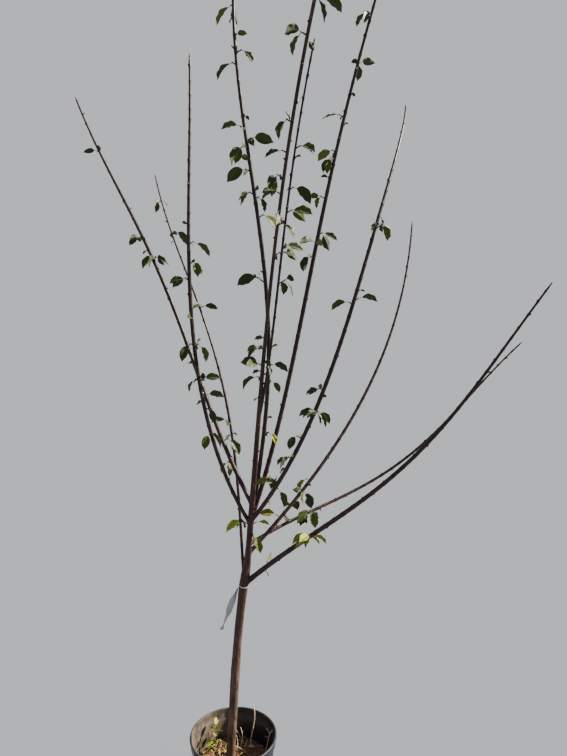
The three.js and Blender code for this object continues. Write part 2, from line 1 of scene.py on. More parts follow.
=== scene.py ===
"""The looks of a potted young fruit tree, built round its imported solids.

The tree grows here by the same rule and the same seeds as its solids, in millimetres, and its
meshes are made in metres: bark with its relief, buds, spurs and leaves, the pot and its mix.
"""
from dataclasses import dataclass
from math import atan2, cos, degrees, hypot, pi, radians, sin, sqrt, tan
from types import SimpleNamespace as Facts

import bpy
import numpy as np
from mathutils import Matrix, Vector, noise


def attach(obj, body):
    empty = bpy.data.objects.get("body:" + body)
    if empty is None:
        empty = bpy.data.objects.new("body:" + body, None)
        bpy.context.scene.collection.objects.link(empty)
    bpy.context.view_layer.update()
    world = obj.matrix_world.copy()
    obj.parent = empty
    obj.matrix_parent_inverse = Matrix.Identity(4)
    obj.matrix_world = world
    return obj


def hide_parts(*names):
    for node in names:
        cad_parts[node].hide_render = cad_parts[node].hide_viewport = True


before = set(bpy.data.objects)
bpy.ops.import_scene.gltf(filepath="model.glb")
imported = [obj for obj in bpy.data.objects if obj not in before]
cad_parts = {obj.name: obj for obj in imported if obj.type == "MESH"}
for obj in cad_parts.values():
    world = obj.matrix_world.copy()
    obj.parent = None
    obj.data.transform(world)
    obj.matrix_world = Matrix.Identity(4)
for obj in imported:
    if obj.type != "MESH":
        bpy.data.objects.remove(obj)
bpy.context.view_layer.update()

MM = 0.001
BODY = "root"

# The camera that took the photograph, from the tilt of the pot's rim and the horizon.
CAMERA = Facts(place=(0.1675, -1.82, 1.55), pitch=2.6, focal_pixels=560, photo_width=567, sensor=36)

# Driving sizes of the pot and the mix, in millimetres and degrees, as their solids have them.
CLEARANCE = 0.3
POT = Facts(height=275, rim=145, collar=141, step=137, foot=113, bevel=3, wall=2.2, base=3, lip=8,
            collar_depth=34, collar_slope=4, holes=8, hole_radius=8, hole_ring=100)
MIX = Facts(level=185, edge_drop=14, flat=18, seat=34, wall_gap=0.7)
MIX_SURFACE = ((34, 0), (48, 1), (70, 3), (92, 5), (112, 9), (131, 14))
LUMPS = Facts(height=3.5, across_x=0.11, across_y=0.13, phase=1.3, slant=0.07, slant_share=0.6)

# How the tree grows, as in its solids: steps along a stem, collars, tips, spurs and leaves.
SEED = 977
PATH_STEPS = 60
TRUNK_STEPS = 67
TRUNK_X = -11
HAND_OVER = 90
BEAD_SPACING = 8
COLLAR = Facts(swell=0.3, fade=14, room=2, reach=260, step=2)
TIP = Facts(length=14, share=0.45)
SPUR = Facts(length=(6, 13), cluster_length=(15, 26), cluster_from=3, rise=32, radius=(2.1, 1.5), steps=4,
             sunk=1, leaf_step=2, leaf_rows=3, fan=300, widest_spread=75)
LEAF_FORM = Facts(petiole_lift=20, steepest=-88, steps=10, skew=0.82, point=0.75)
LEAF_ROOM = Facts(
    limb=3, other=11, own=5, tries=8, turn=47,
    places=((0.1, 0), (0.35, -0.85), (0.35, 0.85), (0.6, -0.85), (0.6, 0.85), (0.8, 0), (1, 0)))
# What a leaf draws, in this order, each between two ends.
LEAF = dict(length=(34, 58), first_rise=(15, -60), waver=(-14, 14), width_share=(0.56, 0.68),
            petiole=(8, 15), droop=(15, 45), fold=(6, 20), roll=(30, 75))
SPROUT_LEAF = dict(LEAF, length=(21, 29), petiole=(5, 9), first_rise=(40, 5), droop=(10, 40))
# The seedling and the blank tag, each with its line.
SPROUT_LINE = dict(heading=(150, 60), rise=(78, 82, 70), length=72, steps=12)
SPROUT = Facts(
    foot=(-66, 52), lift=0.9, radii=(1.6, 1.2, 0.9), below=4, spacing=2, sides=8,
    leaves=((20, 200), (27, -20), (34, 100), (42, 250), (50, 10), (57, 150), (64, -60), (70, 80)))
TAG_LINE = dict(heading=(192, 204), rise=(-64, -68, -64), length=150, steps=60)
TAG = Facts(
    height=779, loop_gap=0.5, thickness=0.8, neck=9, width=20, neck_share=0.2, twist=215, columns=7,
    paper=0.45, cup=1.2, curl=1.4, curls=21, end_from=0.93, end_narrow=0.12, band_depth=4.6,
    band_turns=64, band_wave=0.5, band_bulge=0.25, band_hollow=0.2)


class SeededRandom:
    """Numbers from 0 to 1, the same on every run and the same as the solids were grown by."""

    SPAN = 2 ** 32

    def __init__(self, seed):
        self.state = seed * 2654435761 % self.SPAN

    def __call__(self):
        self.state = (self.state * 1664525 + 1013904223) % self.SPAN
        return self.state / self.SPAN

    def between(self, low, high):
        return low + (high - low) * self()

    def choice(self, options):
        return options[int(self() * len(options))]

    def weighted(self, weights):
        """The number of one of some weights that add up to 1, each as often as it says."""
        pick = self()
        for number, weight in enumerate(weights):
            pick -= weight
            if pick <= 0:
                break
        return number


def direction(heading, rise):
    heading, rise = radians(heading), radians(rise)
    return np.array([cos(rise) * cos(heading), cos(rise) * sin(heading), sin(rise)])


def heading_of(vector):
    return degrees(atan2(vector[1], vector[0]))


def around(radius, angle):
    return radius * cos(angle), radius * sin(angle)


def circle(count):
    return np.arange(count) * 2 * pi / count


def unit(vector):
    return vector / np.linalg.norm(vector)


def turned(vector, axis, angle):
    """A vector turned about a unit axis."""
    return (vector * cos(angle) + np.cross(axis, vector) * sin(angle)
            + axis * np.dot(axis, vector) * (1 - cos(angle)))


def through_three(values, u):
    """The value at share u of a run that passes through three values at its start, middle and end."""
    start, middle, end = values
    return start * (1 - u) * (1 - 2 * u) + middle * 4 * u * (1 - u) + end * u * (2 * u - 1)


def along_table(table, at):
    return np.interp(at, *zip(*table))


def along_three(values, u):
    return np.interp(u, (0, 0.5, 1), values)


def lerp(low, high, share):
    return low + (high - low) * share


def smoothstep(x, low, high):
    share = np.clip((x - low) / (high - low), 0, 1)
    return share * share * (3 - 2 * share)


def even_distances(start, end, spacing):
    count = max(1, round((end - start) / spacing))
    return np.linspace(start, end, count + 1)


class StemPath:
    """A stem's centre line, grown from its root in equal steps while its heading and rise turn."""

    def __init__(self, root, heading, rise, length, sway=0, steps=PATH_STEPS):
        self.step = length / steps
        self.length = self.step * steps
        points = [np.array(root, float)]
        for i in range(steps):
            u = (i + 0.5) / steps
            swayed = through_three(rise, u) + sway * sin(2 * pi * u)
            points.append(points[i] + direction(lerp(*heading, u), swayed) * self.step)
        self.points = np.array(points)

    def at(self, distance):
        place = np.clip(np.asarray(distance, float) / self.step, 0, len(self.points) - 1)
        index = np.minimum(np.floor(place).astype(int), len(self.points) - 2)
        share = (place - index)[..., None]
        return self.points[index] * (1 - share) + self.points[index + 1] * share

    def tangent(self, distance):
        reach = self.step / 2
        return unit(self.at(distance + reach) - self.at(distance - reach))

    def distance_at_height(self, height):
        index = int(np.argmax(self.points[:, 2] > height))
        low = self.points[index - 1][2]
        share = (height - low) / (self.points[index][2] - low)
        return (index - 1 + share) * self.step


@dataclass
class Stem:
    """The trunk, the leader, or a whip that leaves one of those two at its height.

    Headings are those of its start and end, and rises and radii those of its start, middle and end.
    Its solid is a bough as far as bough, and foliage beyond. A spur is its distance along the stem,
    its heading and its number of leaves. The collar is the distance at which the stem stands clear.
    The leader starts at the trunk's end, so it has no height of its own.
    """

    name: str
    height: float
    heading: tuple
    rise: tuple
    length: float
    radii: tuple = ()
    bough: float = 0
    spurs: tuple = ()
    sway: float = 0
    collar: float = 0

    def grow(self, root, steps=PATH_STEPS):
        self.path = StemPath(root, self.heading, self.rise, self.length, self.sway, steps)

    def taper_at(self, distance):
        to_tip = np.minimum(1, (self.length - distance) / TIP.length)
        return along_three(self.radii, distance / self.length) * lerp(TIP.share, 1, to_tip)

    def radius_at(self, distance):
        return self.taper_at(distance) * (1 + COLLAR.swell * np.exp(-distance / COLLAR.fade))


class Trunk(Stem):
    """The trunk, whose girth goes on a little way up the leader."""

    GIRTH = ((0, 19), (12, 16.4), (35, 14.6), (110, 14.2), (210, 14.8), (300, 15.4), (400, 14),
             (540, 13.8), (600, 15.4), (630, 15.2), (670, 12.6), (720, 10.6), (748, 9.8))

    def radius_at(self, distance):
        return along_table(self.GIRTH, distance)


class Leader(Stem):
    """The stem that goes on from the trunk, and takes over its girth."""

    def radius_at(self, distance):
        share = np.clip((distance - Trunk.GIRTH[-1][0] + TRUNK.length) / HAND_OVER, 0, 1)
        return lerp(TRUNK.radius_at(TRUNK.length + distance), self.taper_at(distance), share)


TRUNK = Trunk("trunk", MIX.level + CLEARANCE, (0, 0), (86, 86, 80), 670)
LEADER = Leader(
    "leader", None, (-73, -74), (71, 69, 43), 1620, (11, 5.2, 4.2), 635,
    ((105, -50, 2), (150, 0, 1), (150, 180, 3), (650, 180, 1), (690, 200, 2), (740, 180, 2),
     (1010, 0, 1), (1090, 0, 1), (1120, -90, 1), (1170, 180, 2), (1210, 180, 2), (1270, 180, 1),
     (1340, 180, 1), (1520, 180, 2), (1590, 20, 2)),
    collar=94)
WHIPS = (
    Stem("low_right", 783, (-19, -9), (43, 45, 55), 1340, (8.6, 6.2, 2.6), 1340,
         ((110, 90, 1), (280, -60, 6)), sway=-6),
    Stem("second_right", 926, (41, -13), (16, 32, 45), 1300, (5.8, 4.8, 2.4), 1300,
         ((140, 30, 1), (250, -60, 6)), sway=-9),
    Stem("third_right", 890, (25, 46), (41, 55, 84), 1420, (6.2, 5.2, 2.6), 1420,
         ((160, 200, 1), (210, 60, 1), (270, -60, 2), (320, 200, 1))),
    Stem("fourth_right", 1010, (-43, 79), (46, 72, 43), 1570, (6.6, 5.6, 2.8), 400,
         ((145, -10, 1), (180, 180, 3), (270, 200, 2), (340, 180, 1), (420, -60, 6), (500, 180, 2),
          (770, 180, 1), (780, 0, 1), (1010, -30, 5))),
    Stem("top_right", 1010, (12, -54), (71, 78, 62), 1740, (7, 6.2, 3), 840,
         ((860, 180, 2), (900, -110, 2), (930, 0, 2), (1040, 180, 2), (1160, 180, 2), (1180, 180, 1),
          (1280, 180, 1), (1430, 40, 2), (1560, 200, 2), (1690, -60, 3))),
    Stem("front_left", 1000, (196, 201), (59, 87, 89), 1470, (5.8, 5.8, 3), 560,
         ((320, -90, 2), (400, -20, 1), (440, 0, 1), (490, 0, 1), (492, 180, 1), (600, 0, 1),
          (602, 180, 2), (680, -90, 1), (800, 180, 2), (850, 0, 2), (910, 0, 1))),
    Stem("far_left", 1070, (159, 148), (59, 63, 63), 1590, (6.6, 6, 2.6), 850,
         ((140, 180, 2), (220, 0, 1), (870, -60, 4), (950, 200, 4), (1340, 180, 1)), sway=6),
    Stem("rear_left", 785, (161, 125), (87, 69, 65), 1540, (4.6, 3.8, 2.2), 1150,
         ((205, 200, 1), (535, 180, 1), (945, 0, 1), (1265, 0, 1), (1415, 150, 1)), sway=7),
    Stem("twin_leader", 860, (-30, -172), (84, 72, 94), 1750, (6.8, 5.6, 3.6), 880,
         ((440, 0, 1), (920, 200, 3), (1100, 0, 1), (1150, 0, 1), (1160, 180, 2), (1220, 180, 1),
          (1280, 180, 2), (1300, 0, 1), (1330, 180, 1), (1490, 180, 1), (1520, 0, 1),
          (1640, 120, 2), (1720, -60, 2))),
    Stem("leader_fork", 1340, (-59, -74), (66, 73, 47), 1010, (3.6, 3.1, 2), 400,
         ((130, 0, 1), (180, 0, 1), (420, 20, 3), (520, 0, 2), (610, 0, 2), (670, 0, 1), (770, 0, 2))),
)
STEMS = (TRUNK, LEADER, *WHIPS)


def grow_stems():
    """Grows the trunk from the mix, the leader from the trunk's end, and the whips from either."""
    TRUNK.grow((TRUNK_X, 0, TRUNK.height), TRUNK_STEPS)
    LEADER.grow(TRUNK.path.points[-1])
    for whip in WHIPS:
        carrier = TRUNK.path if whip.height < LEADER.path.points[0][2] else LEADER.path
        whip.grow(carrier.at(carrier.distance_at_height(whip.height)))


def stem_beads():
    """Every stem as spheres along its line: centres, radii and the number of the stem."""
    rows = []
    for number, stem in enumerate(STEMS):
        distances = even_distances(0, stem.path.length, BEAD_SPACING)
        rows.append((stem.path.at(distances), stem.radius_at(distances), np.full(len(distances), number)))
    return [np.concatenate(column) for column in zip(*rows)]


def collar_length(stem):
    """Distance from a whip's root at which it stands clear of every other stem."""
    others = BEAD_OWNERS != STEMS.index(stem)
    clear = 0
    for distance in np.arange(0, COLLAR.reach, COLLAR.step):
        gaps = np.linalg.norm(BEAD_CENTRES[others] - stem.path.at(distance), axis=1) - BEAD_RADII[others]
        if (gaps < stem.radius_at(distance) + COLLAR.room).any():
            clear = distance + COLLAR.step
    return clear


grow_stems()
BEAD_CENTRES, BEAD_RADII, BEAD_OWNERS = stem_beads()
for whip in WHIPS:
    whip.collar = collar_length(whip)


def blade_shape(t):
    """A leaf blade's half width, as a share of its greatest, at share t of its length."""
    return np.maximum(0, np.sin(pi * t ** LEAF_FORM.skew)) ** LEAF_FORM.point


def draw_leaf(random, start, heading, habit):
    drawn = Facts(**{name: random.between(*ends) for name, ends in habit.items()})
    side = -1 if random() < 0.5 else 1
    last_rise = max(LEAF_FORM.steepest, drawn.first_rise - drawn.droop)
    return Facts(
        start=start, heading=heading + drawn.waver, length=drawn.length, petiole=drawn.petiole,
        width=drawn.length * drawn.width_share, rise=(drawn.first_rise, last_rise),
        fold=radians(drawn.fold), roll=radians(drawn.roll) * side)


def leaf_line(leaf, steps=LEAF_FORM.steps):
    first, last = leaf.rise
    rise = (first + LEAF_FORM.petiole_lift, (first + last) / 2, last)
    return StemPath(leaf.start, (leaf.heading,) * 2, rise, leaf.petiole + leaf.length, steps=steps)


def blade_frame(leaf, line, distance):
    """Directions across and out of the blade, rolled about its own line."""
    along = line.tangent(distance)
    level = direction(leaf.heading - 90, 0)
    up = unit(np.cross(level, along))
    return turned(level, along, leaf.roll), turned(up, along, leaf.roll)


def blade_point(leaf, line, t, side):
    distance = leaf.petiole + leaf.length * t
    across, out = blade_frame(leaf, line, distance)
    half = leaf.width / 2 * blade_shape(t) * side
    return line.at(distance) + across * half * cos(leaf.fold) + out * abs(half) * sin(leaf.fold)


placed_leaves = []


def leaf_settles(leaf, owner, other_room=LEAF_ROOM.other):
    """Keeps the place of a leaf that is clear of every stem and of the leaves before it."""
    line = leaf_line(leaf)
    beads = np.array([blade_point(leaf, line, t, side) for t, side in LEAF_ROOM.places])
    gaps = np.linalg.norm(BEAD_CENTRES[:, None] - beads[None], axis=2) - BEAD_RADII[:, None]
    if (gaps <= LEAF_ROOM.limb).any():
        return False
    for other, other_beads in placed_leaves:
        room = LEAF_ROOM.own if other == owner else other_room
        if (np.linalg.norm(other_beads[:, None] - beads[None], axis=2) <= room).any():
            return False
    placed_leaves.append((owner, beads))
    return True


def grow_spur(random, stem, distance, heading, count, owner):
    """A short side shoot whose leaves fan out round its heading."""
    low, high = SPUR.cluster_length if count >= SPUR.cluster_from else SPUR.length
    length = stem.radius_at(distance) + random.between(low, high)
    path = StemPath(stem.path.at(distance), (heading,) * 2, (SPUR.rise,) * 3, length, steps=SPUR.steps)
    spread = min(SPUR.widest_spread, SPUR.fan / count)
    leaves = []
    for i in range(count):
        start = path.at(length - SPUR.sunk - i % SPUR.leaf_rows * SPUR.leaf_step)
        leaf = draw_leaf(random, start, heading + (i - (count - 1) / 2) * spread, LEAF)
        for _ in range(LEAF_ROOM.tries):
            if leaf_settles(leaf, owner):
                leaves.append(leaf)
                break
            leaf.heading += LEAF_ROOM.turn
    return Facts(stem=stem, distance=distance, path=path, length=length, leaves=leaves, owner=owner)


def grow_spurs():
    """Every spur with its leaves, and the CAD node that each belongs to."""
    spurs = []
    for index, stem in enumerate(STEMS[1:]):
        random = SeededRandom(SEED + index)
        for number, (distance, heading, count) in enumerate(stem.spurs, start=1):
            owner = f"spur_{stem.name}_{number}" if distance < stem.bough else f"foliage_{stem.name}"
            spurs.append(grow_spur(random, stem, distance, heading, count, owner))
    return [spur for spur in spurs if spur.leaves or spur.owner.startswith("foliage")]


SPURS = grow_spurs()


class Mesh:
    """Gathers points in millimetres and faces, and makes one Blender object of them in metres."""

    def __init__(self):
        self.points, self.faces, self.kinds, self.count = [], [], [], 0

    def add(self, points, faces, kinds=(0,)):
        """Adds faces, each with the number of its material. The last number goes for all the rest."""
        points = np.asarray(points, float).reshape(-1, 3)
        self.points.append(points)
        self.faces += [tuple(int(corner) + self.count for corner in face) for face in faces]
        self.kinds += [*kinds, *kinds[-1:] * (len(faces) - len(kinds))]
        self.count += len(points)

    def make(self, name, materials, smooth=True):
        mesh = bpy.data.meshes.new(name)
        mesh.from_pydata((np.concatenate(self.points) * MM).tolist(), [], self.faces)
        for material in materials:
            mesh.materials.append(material)
        mesh.polygons.foreach_set("material_index", self.kinds)
        mesh.polygons.foreach_set("use_smooth", [smooth] * len(self.faces))
        mesh.update()
        return link_object(name, mesh)

    def finish(self, name, materials, slot, *nodes, smooth=True):
        finish_piece(self.make(name, materials, smooth), slot, *nodes)


def link_object(name, data):
    thing = bpy.data.objects.new(name, data)
    bpy.context.scene.collection.objects.link(thing)
    return thing


def finish_piece(piece, slot, *nodes):
    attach(piece, BODY)
    if nodes:
        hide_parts(*nodes)


def grid_faces(rows, columns, closed=False):
    """Quads of a grid of points, rows by columns, whose columns may close on themselves."""
    faces = []
    for row in range(rows - 1):
        for column in range(columns - 1 + closed):
            a, b = row * columns + column, row * columns + (column + 1) % columns
            faces.append((a, b, b + columns, a + columns))
    return faces


def capped_faces(rows, columns):
    """Quads of rings of points, and fans to two more points that close the first and the last ring."""
    faces = grid_faces(rows, columns, closed=True)
    first, last, end = rows * columns, rows * columns + 1, (rows - 1) * columns
    for column in range(columns):
        beside = (column + 1) % columns
        faces += [(first, beside, column), (last, end + column, end + beside)]
    return faces


def flipped(faces):
    """Faces turned over, each from the same first corner."""
    return [face[:1] + face[:0:-1] for face in faces]


NEARLY_ALONG = 0.9


def carried_frames(centres):
    """Sideways directions carried along a line of centres without twist, and those square to them."""
    tangents = np.gradient(centres, axis=0)
    tangents /= np.linalg.norm(tangents, axis=1)[:, None]
    # The first side is taken from the Y axis, or from the X axis if the line starts nearly along Y.
    side = np.array((0, 1, 0) if abs(tangents[0][1]) < NEARLY_ALONG else (1, 0, 0))
    sides = []
    for along in tangents:
        side = unit(side - along * np.dot(side, along))
        sides.append(side)
    return np.array(sides), np.cross(tangents, sides)


def add_tube(mesh, centres, radii, sides):
    """A closed tube along centres, with one radius, one for each centre or one for each point."""
    centres, radii = np.asarray(centres, float), np.asarray(radii, float)
    if radii.ndim == 1:
        radii = radii[:, None]
    side, normal = carried_frames(centres)
    angles = circle(sides)
    points = (centres[:, None] + side[:, None] * (np.cos(angles) * radii)[..., None]
              + normal[:, None] * (np.sin(angles) * radii)[..., None])
    mesh.add(np.concatenate([points.reshape(-1, 3), centres[[0, -1]]]), capped_faces(len(centres), sides))


def add_sheet(mesh, upper, lower, kinds=(0,)):
    """A closed thin sheet from its two faces of points, rows by columns."""
    rows, columns = upper.shape[:2]
    size = rows * columns
    quads = grid_faces(rows, columns)
    # The points of the border, once round.
    border = [*range(columns), *range(2 * columns - 1, size, columns),
              *range(size - 2, size - columns - 1, -1), *range(size - 2 * columns, 0, -columns)]
    faces = flipped(quads) + [tuple(corner + size for corner in quad) for quad in quads]
    faces += [(a, b, b + size, a + size) for a, b in zip(border, border[1:] + border[:1])]
    mesh.add([upper, lower], faces, kinds)


def modified(piece, **modifiers):
    """Puts modifiers on a piece by their kinds, applies them to its mesh, and returns the mesh."""
    for kind, settings in modifiers.items():
        modifier = piece.modifiers.new(kind, kind)
        for name, value in settings.items():
            setattr(modifier, name, value)
    graph = bpy.context.evaluated_depsgraph_get()
    mesh = bpy.data.meshes.new_from_object(piece.evaluated_get(graph), depsgraph=graph)
    piece.modifiers.clear()
    old = piece.data
    piece.data = mesh
    bpy.data.meshes.remove(old)
    mesh.polygons.foreach_set("use_smooth", [True] * len(mesh.polygons))
    return mesh


class Shader:
    """A procedural material: a Principled shader and short ways to add what feeds it."""

    def __init__(self, name, **inputs):
        self.material = bpy.data.materials.new(name)
        self.material.use_nodes = True
        self.tree = self.material.node_tree
        self.principled = self.tree.nodes["Principled BSDF"]
        self.feed(self.principled, **inputs)
        self.place = self.node("ShaderNodeTexCoord").outputs["Object"]

    def feed(self, node, **inputs):
        """Sets or links a node's inputs, whose names have _ for a space."""
        for name, value in inputs.items():
            self.join(node.inputs[name.replace("_", " ")], value)

    def join(self, socket, value):
        if isinstance(value, bpy.types.NodeSocket):
            self.tree.links.new(value, socket)
        else:
            socket.default_value = (*value, 1) if socket.type == "RGBA" else value

    def node(self, kind, **inputs):
        node = self.tree.nodes.new(kind)
        self.feed(node, **inputs)
        return node

    def stretched(self, scale):
        return self.node("ShaderNodeMapping", Vector=self.place, Scale=scale).outputs["Vector"]

    def noise(self, scale, detail=4, roughness=0.55, stretch=1):
        place = self.stretched((1, 1, stretch))
        return self.node("ShaderNodeTexNoise", Vector=place, Scale=scale, Detail=detail,
                         Roughness=roughness).outputs["Fac"]

    def spots(self, scale, stretch, size):
        """Small round spots, 1 inside and 0 outside, on a stretched grid of cells."""
        cells = self.node("ShaderNodeTexVoronoi", Vector=self.stretched(stretch), Scale=scale)
        return self.ramp(cells.outputs["Distance"], (size, 1), (size * 1.6, 0))

    def ramp(self, source, start, end):
        """Maps a value from one pair of place and value to another."""
        return self.node("ShaderNodeMapRange", Value=source, From_Min=start[0], From_Max=end[0],
                         To_Min=start[1], To_Max=end[1]).outputs["Result"]

    def along(self, axis, start, end):
        """A ramp along an axis, with its places in metres."""
        split = self.node("ShaderNodeSeparateXYZ", Vector=self.place)
        return self.ramp(split.outputs[axis], start, end)

    def mix(self, first, second, share):
        node = self.node("ShaderNodeMix", Factor=share)
        node.data_type = "RGBA"
        for socket, color in zip([s for s in node.inputs if s.type == "RGBA"], (first, second)):
            self.join(socket, color)
        return next(s for s in node.outputs if s.type == "RGBA")

    def product(self, first, second):
        node = self.node("ShaderNodeMath")
        node.operation = "MULTIPLY"
        self.join(node.inputs[0], first)
        self.join(node.inputs[1], second)
        return node.outputs[0]

    def paint(self, color, roughness, *bumps):
        """Feeds the shader, and returns its material. A bump is its height, strength and distance."""
        below = {}
        for height, strength, distance in bumps:
            bump = self.node("ShaderNodeBump", Height=height, Strength=strength, Distance=distance, **below)
            below = {"Normal": bump.outputs["Normal"]}
        self.feed(self.principled, Base_Color=color, Roughness=roughness, **below)
        return self.material


def trunk_bark():
    """Grey-tan and fissured low down, dark and reddish towards the fork."""
    shade = Shader("trunk_bark", Specular_IOR_Level=0.22)
    broad = shade.ramp(shade.noise(22, 5, stretch=0.4), (0.35, 0), (0.65, 1))
    streaks = shade.noise(160, 6, 0.6, stretch=0.12)
    fibres = shade.noise(650, 4, 0.6, stretch=0.09)
    wrinkles = shade.noise(110, 4, 0.6, stretch=2.6)
    lenticels = shade.spots(150, (0.6, 0.6, 1.5), 0.15)
    low = shade.mix((0.19, 0.122, 0.087), (0.048, 0.028, 0.02), broad)
    high = shade.mix((0.052, 0.023, 0.018), (0.019, 0.0085, 0.0075), broad)
    color = shade.mix(low, high, shade.along("Z", (0.3, 0), (0.8, 1)))
    color = shade.mix(color, (0.011, 0.006, 0.005), shade.ramp(streaks, (0.5, 0), (0.64, 0.85)))
    color = shade.mix(color, (0.016, 0.009, 0.007), shade.ramp(fibres, (0.5, 0), (0.72, 0.6)))
    color = shade.mix(color, (0.19, 0.12, 0.085), shade.product(lenticels, 0.5))
    coarse = shade.ramp(streaks, (0.3, 0.5), (0.7, 0.8))
    fine = shade.ramp(streaks, (0.3, 0.28), (0.7, 0.46))
    roughness = shade.mix(coarse, fine, shade.along("Z", (0.35, 0), (0.75, 1)))
    return shade.paint(color, roughness, (streaks, 0.5, 0.001), (fibres, 0.35, 0.0005),
                       (wrinkles, 0.3, 0.0008), (lenticels, 0.3, 0.0005))


def whip_bark():
    """Smooth dark red-brown bark, with a thin silvery skin and small pale lenticels, and painted shade that
    darkens it high up.
    """
    shade = Shader("whip_bark", Specular_IOR_Level=0.24)
    broad = shade.noise(30, 4, stretch=0.5)
    skin = shade.noise(210, 5, 0.6, stretch=0.2)
    lenticels = shade.spots(210, (1, 1, 0.55), 0.13)
    color = shade.mix((0.016, 0.0062, 0.006), (0.043, 0.017, 0.0135), shade.ramp(broad, (0.35, 0), (0.7, 1)))
    color = shade.mix(color, (0.1, 0.062, 0.053), shade.ramp(skin, (0.55, 0), (0.8, 0.45)))
    color = shade.mix(color, (0.17, 0.11, 0.08), shade.product(lenticels, 0.5))
    # Painted shade: the whips darken towards a near-black red from 1.05 m to 1.65 m up.
    color = shade.mix(color, (0.008, 0.004, 0.0045), shade.along("Z", (1.05, 0), (1.65, 0.65)))
    roughness = shade.ramp(skin, (0.3, 0.34), (0.75, 0.5))
    return shade.paint(color, roughness, (skin, 0.15, 0.0004), (lenticels, 0.2, 0.0002))


WHIP_BARK = whip_bark()


def leaf_material(name, color, tint, roughness):
    """A leaf face: one plain colour, slightly clouded, with a fine net of veins in its relief."""
    shade = Shader(name, Specular_IOR_Level=0.22)
    cloud = shade.noise(70, 3)
    veins = shade.node("ShaderNodeTexVoronoi", Vector=shade.place, Scale=420)
    veins.feature = "DISTANCE_TO_EDGE"
    net = shade.ramp(veins.outputs["Distance"], (0, 0), (0.15, 1))
    color = shade.mix(color, tint, shade.ramp(cloud, (0.35, 0), (0.7, 1)))
    roughness = shade.ramp(cloud, (0.3, roughness), (0.7, roughness + 0.12))
    return shade.paint(color, roughness, (net, 0.15, 0.0002))


def leaf_faces(name, upper, tint, lower):
    """The materials of a blade's upper face, lower face and midrib."""
    return [leaf_material(f"leaf_{name}_upper", upper, tint, 0.42),
            leaf_material(f"leaf_{name}_lower", lower, [0.8 * c for c in lower], 0.6),
            leaf_material(f"leaf_{name}_rib", [c * 1.6 + 0.012 for c in lower], lower, 0.5)]


def pot_plastic(name, dust_low, dust_high, dust_most, dust_on_painted_shade_side):
    """Black plastic, scuffed, under patchy tan dust that thins out towards its right side, which this leaves
    darker as painted shade.
    """
    shade = Shader(name)
    dust = shade.noise(26, 8, 0.7)
    grain = shade.noise(900, 2)
    scratches = shade.noise(60, 3, 0.7, stretch=0.05)
    # Real dust, times painted shade: the dust thins out from x -0.05 m to 0.03 m, leaving the pot's right
    # side darker.
    dust_and_painted_shade = shade.product(shade.ramp(dust, (dust_low, 0), (dust_high, dust_most)),
                         shade.along("X", (-0.05, 1), (0.03, dust_on_painted_shade_side)))
    color = shade.mix((0.006, 0.0075, 0.014), (0.15, 0.112, 0.078), dust_and_painted_shade)
    roughness = shade.ramp(dust, (0.35, 0.34), (0.7, 0.68))
    return shade.paint(color, roughness, (grain, 0.12, 0.0004), (scratches, 0.15, 0.0005))


def loose_matter(name, dark, light, scale, roughness=0.9):
    """Soil, chips, needles and straw: a colour clouded between two, rough and grainy."""
    shade = Shader(name)
    cloud = shade.noise(scale, 5, 0.6)
    grain = shade.noise(scale * 9, 3)
    color = shade.mix(dark, light, shade.ramp(cloud, (0.35, 0), (0.65, 1)))
    return shade.paint(color, roughness, (grain, 0.5, 0.0008))


def tag_paper():
    shade = Shader("tag_paper")
    smudge = shade.noise(45, 4, 0.6)
    fibre = shade.noise(800, 2, stretch=0.3)
    color = shade.mix((0.33, 0.335, 0.37), (0.2, 0.2, 0.23), shade.ramp(smudge, (0.4, 0), (0.8, 0.8)))
    return shade.paint(color, 0.6, (fibre, 0.2, 0.0003))


SHAFT = Facts(
    spacing=4, sides=40, below=6, foot_swell=1.06, voxel=0.0014, soften=0.5, softenings=6, collar_sides=16,
    collar_over=0.5, collar_under=-0.6, flare=0.13, flare_fade=16, flare_lobes=3, flare_turn=0.7)


def shaft_line():
    """Centres and radii along the trunk and on up the leader, from just under the mix's surface."""
    low = even_distances(0, TRUNK.path.length - SHAFT.spacing, SHAFT.spacing)
    high = even_distances(0, LEADER.path.length, SHAFT.spacing)
    centres = np.concatenate([TRUNK.path.at(low), LEADER.path.at(high)])
    radii = np.concatenate([TRUNK.radius_at(low), LEADER.radius_at(high)])
    below = centres[0] - (0, 0, SHAFT.below)
    return np.concatenate([[below], centres]), np.concatenate([[radii[0] * SHAFT.foot_swell], radii])


def make_trunk():
    """The trunk and leader with the whips' collars, fused and smoothed, with the bark's relief."""
    mesh = Mesh()
    centres, radii = shaft_line()
    fade = np.exp((centres[0][2] - centres[:, 2]) / SHAFT.flare_fade)
    lobes = np.cos(SHAFT.flare_lobes * circle(SHAFT.sides) + SHAFT.flare_turn)
    add_tube(mesh, centres, radii[:, None] * (1 + SHAFT.flare * fade[:, None] * lobes), SHAFT.sides)
    for whip in WHIPS:
        distances = even_distances(0, whip.collar, SHAFT.spacing)
        spare = lerp(SHAFT.collar_over, SHAFT.collar_under, distances / whip.collar)
        add_tube(mesh, whip.path.at(distances), whip.radius_at(distances) + spare, SHAFT.collar_sides)
    piece = mesh.make("bark_trunk", [trunk_bark()])
    fusing = dict(mode="VOXEL", voxel_size=SHAFT.voxel)
    softening = dict(factor=SHAFT.soften, iterations=SHAFT.softenings)
    add_relief(modified(piece, REMESH=fusing, SMOOTH=softening))
    finish_piece(piece, "bark", "trunk", "bough_leader")


RELIEF = Facts(lump_scale=45, lump=0.00055, ridge_scale=260, ridge=0.00045, stretch=0.14,
               fade_low=0.9, fade_high=1.3, least=0.3)


def noise_at(places):
    return np.array([noise.noise(place) for place in places.tolist()])


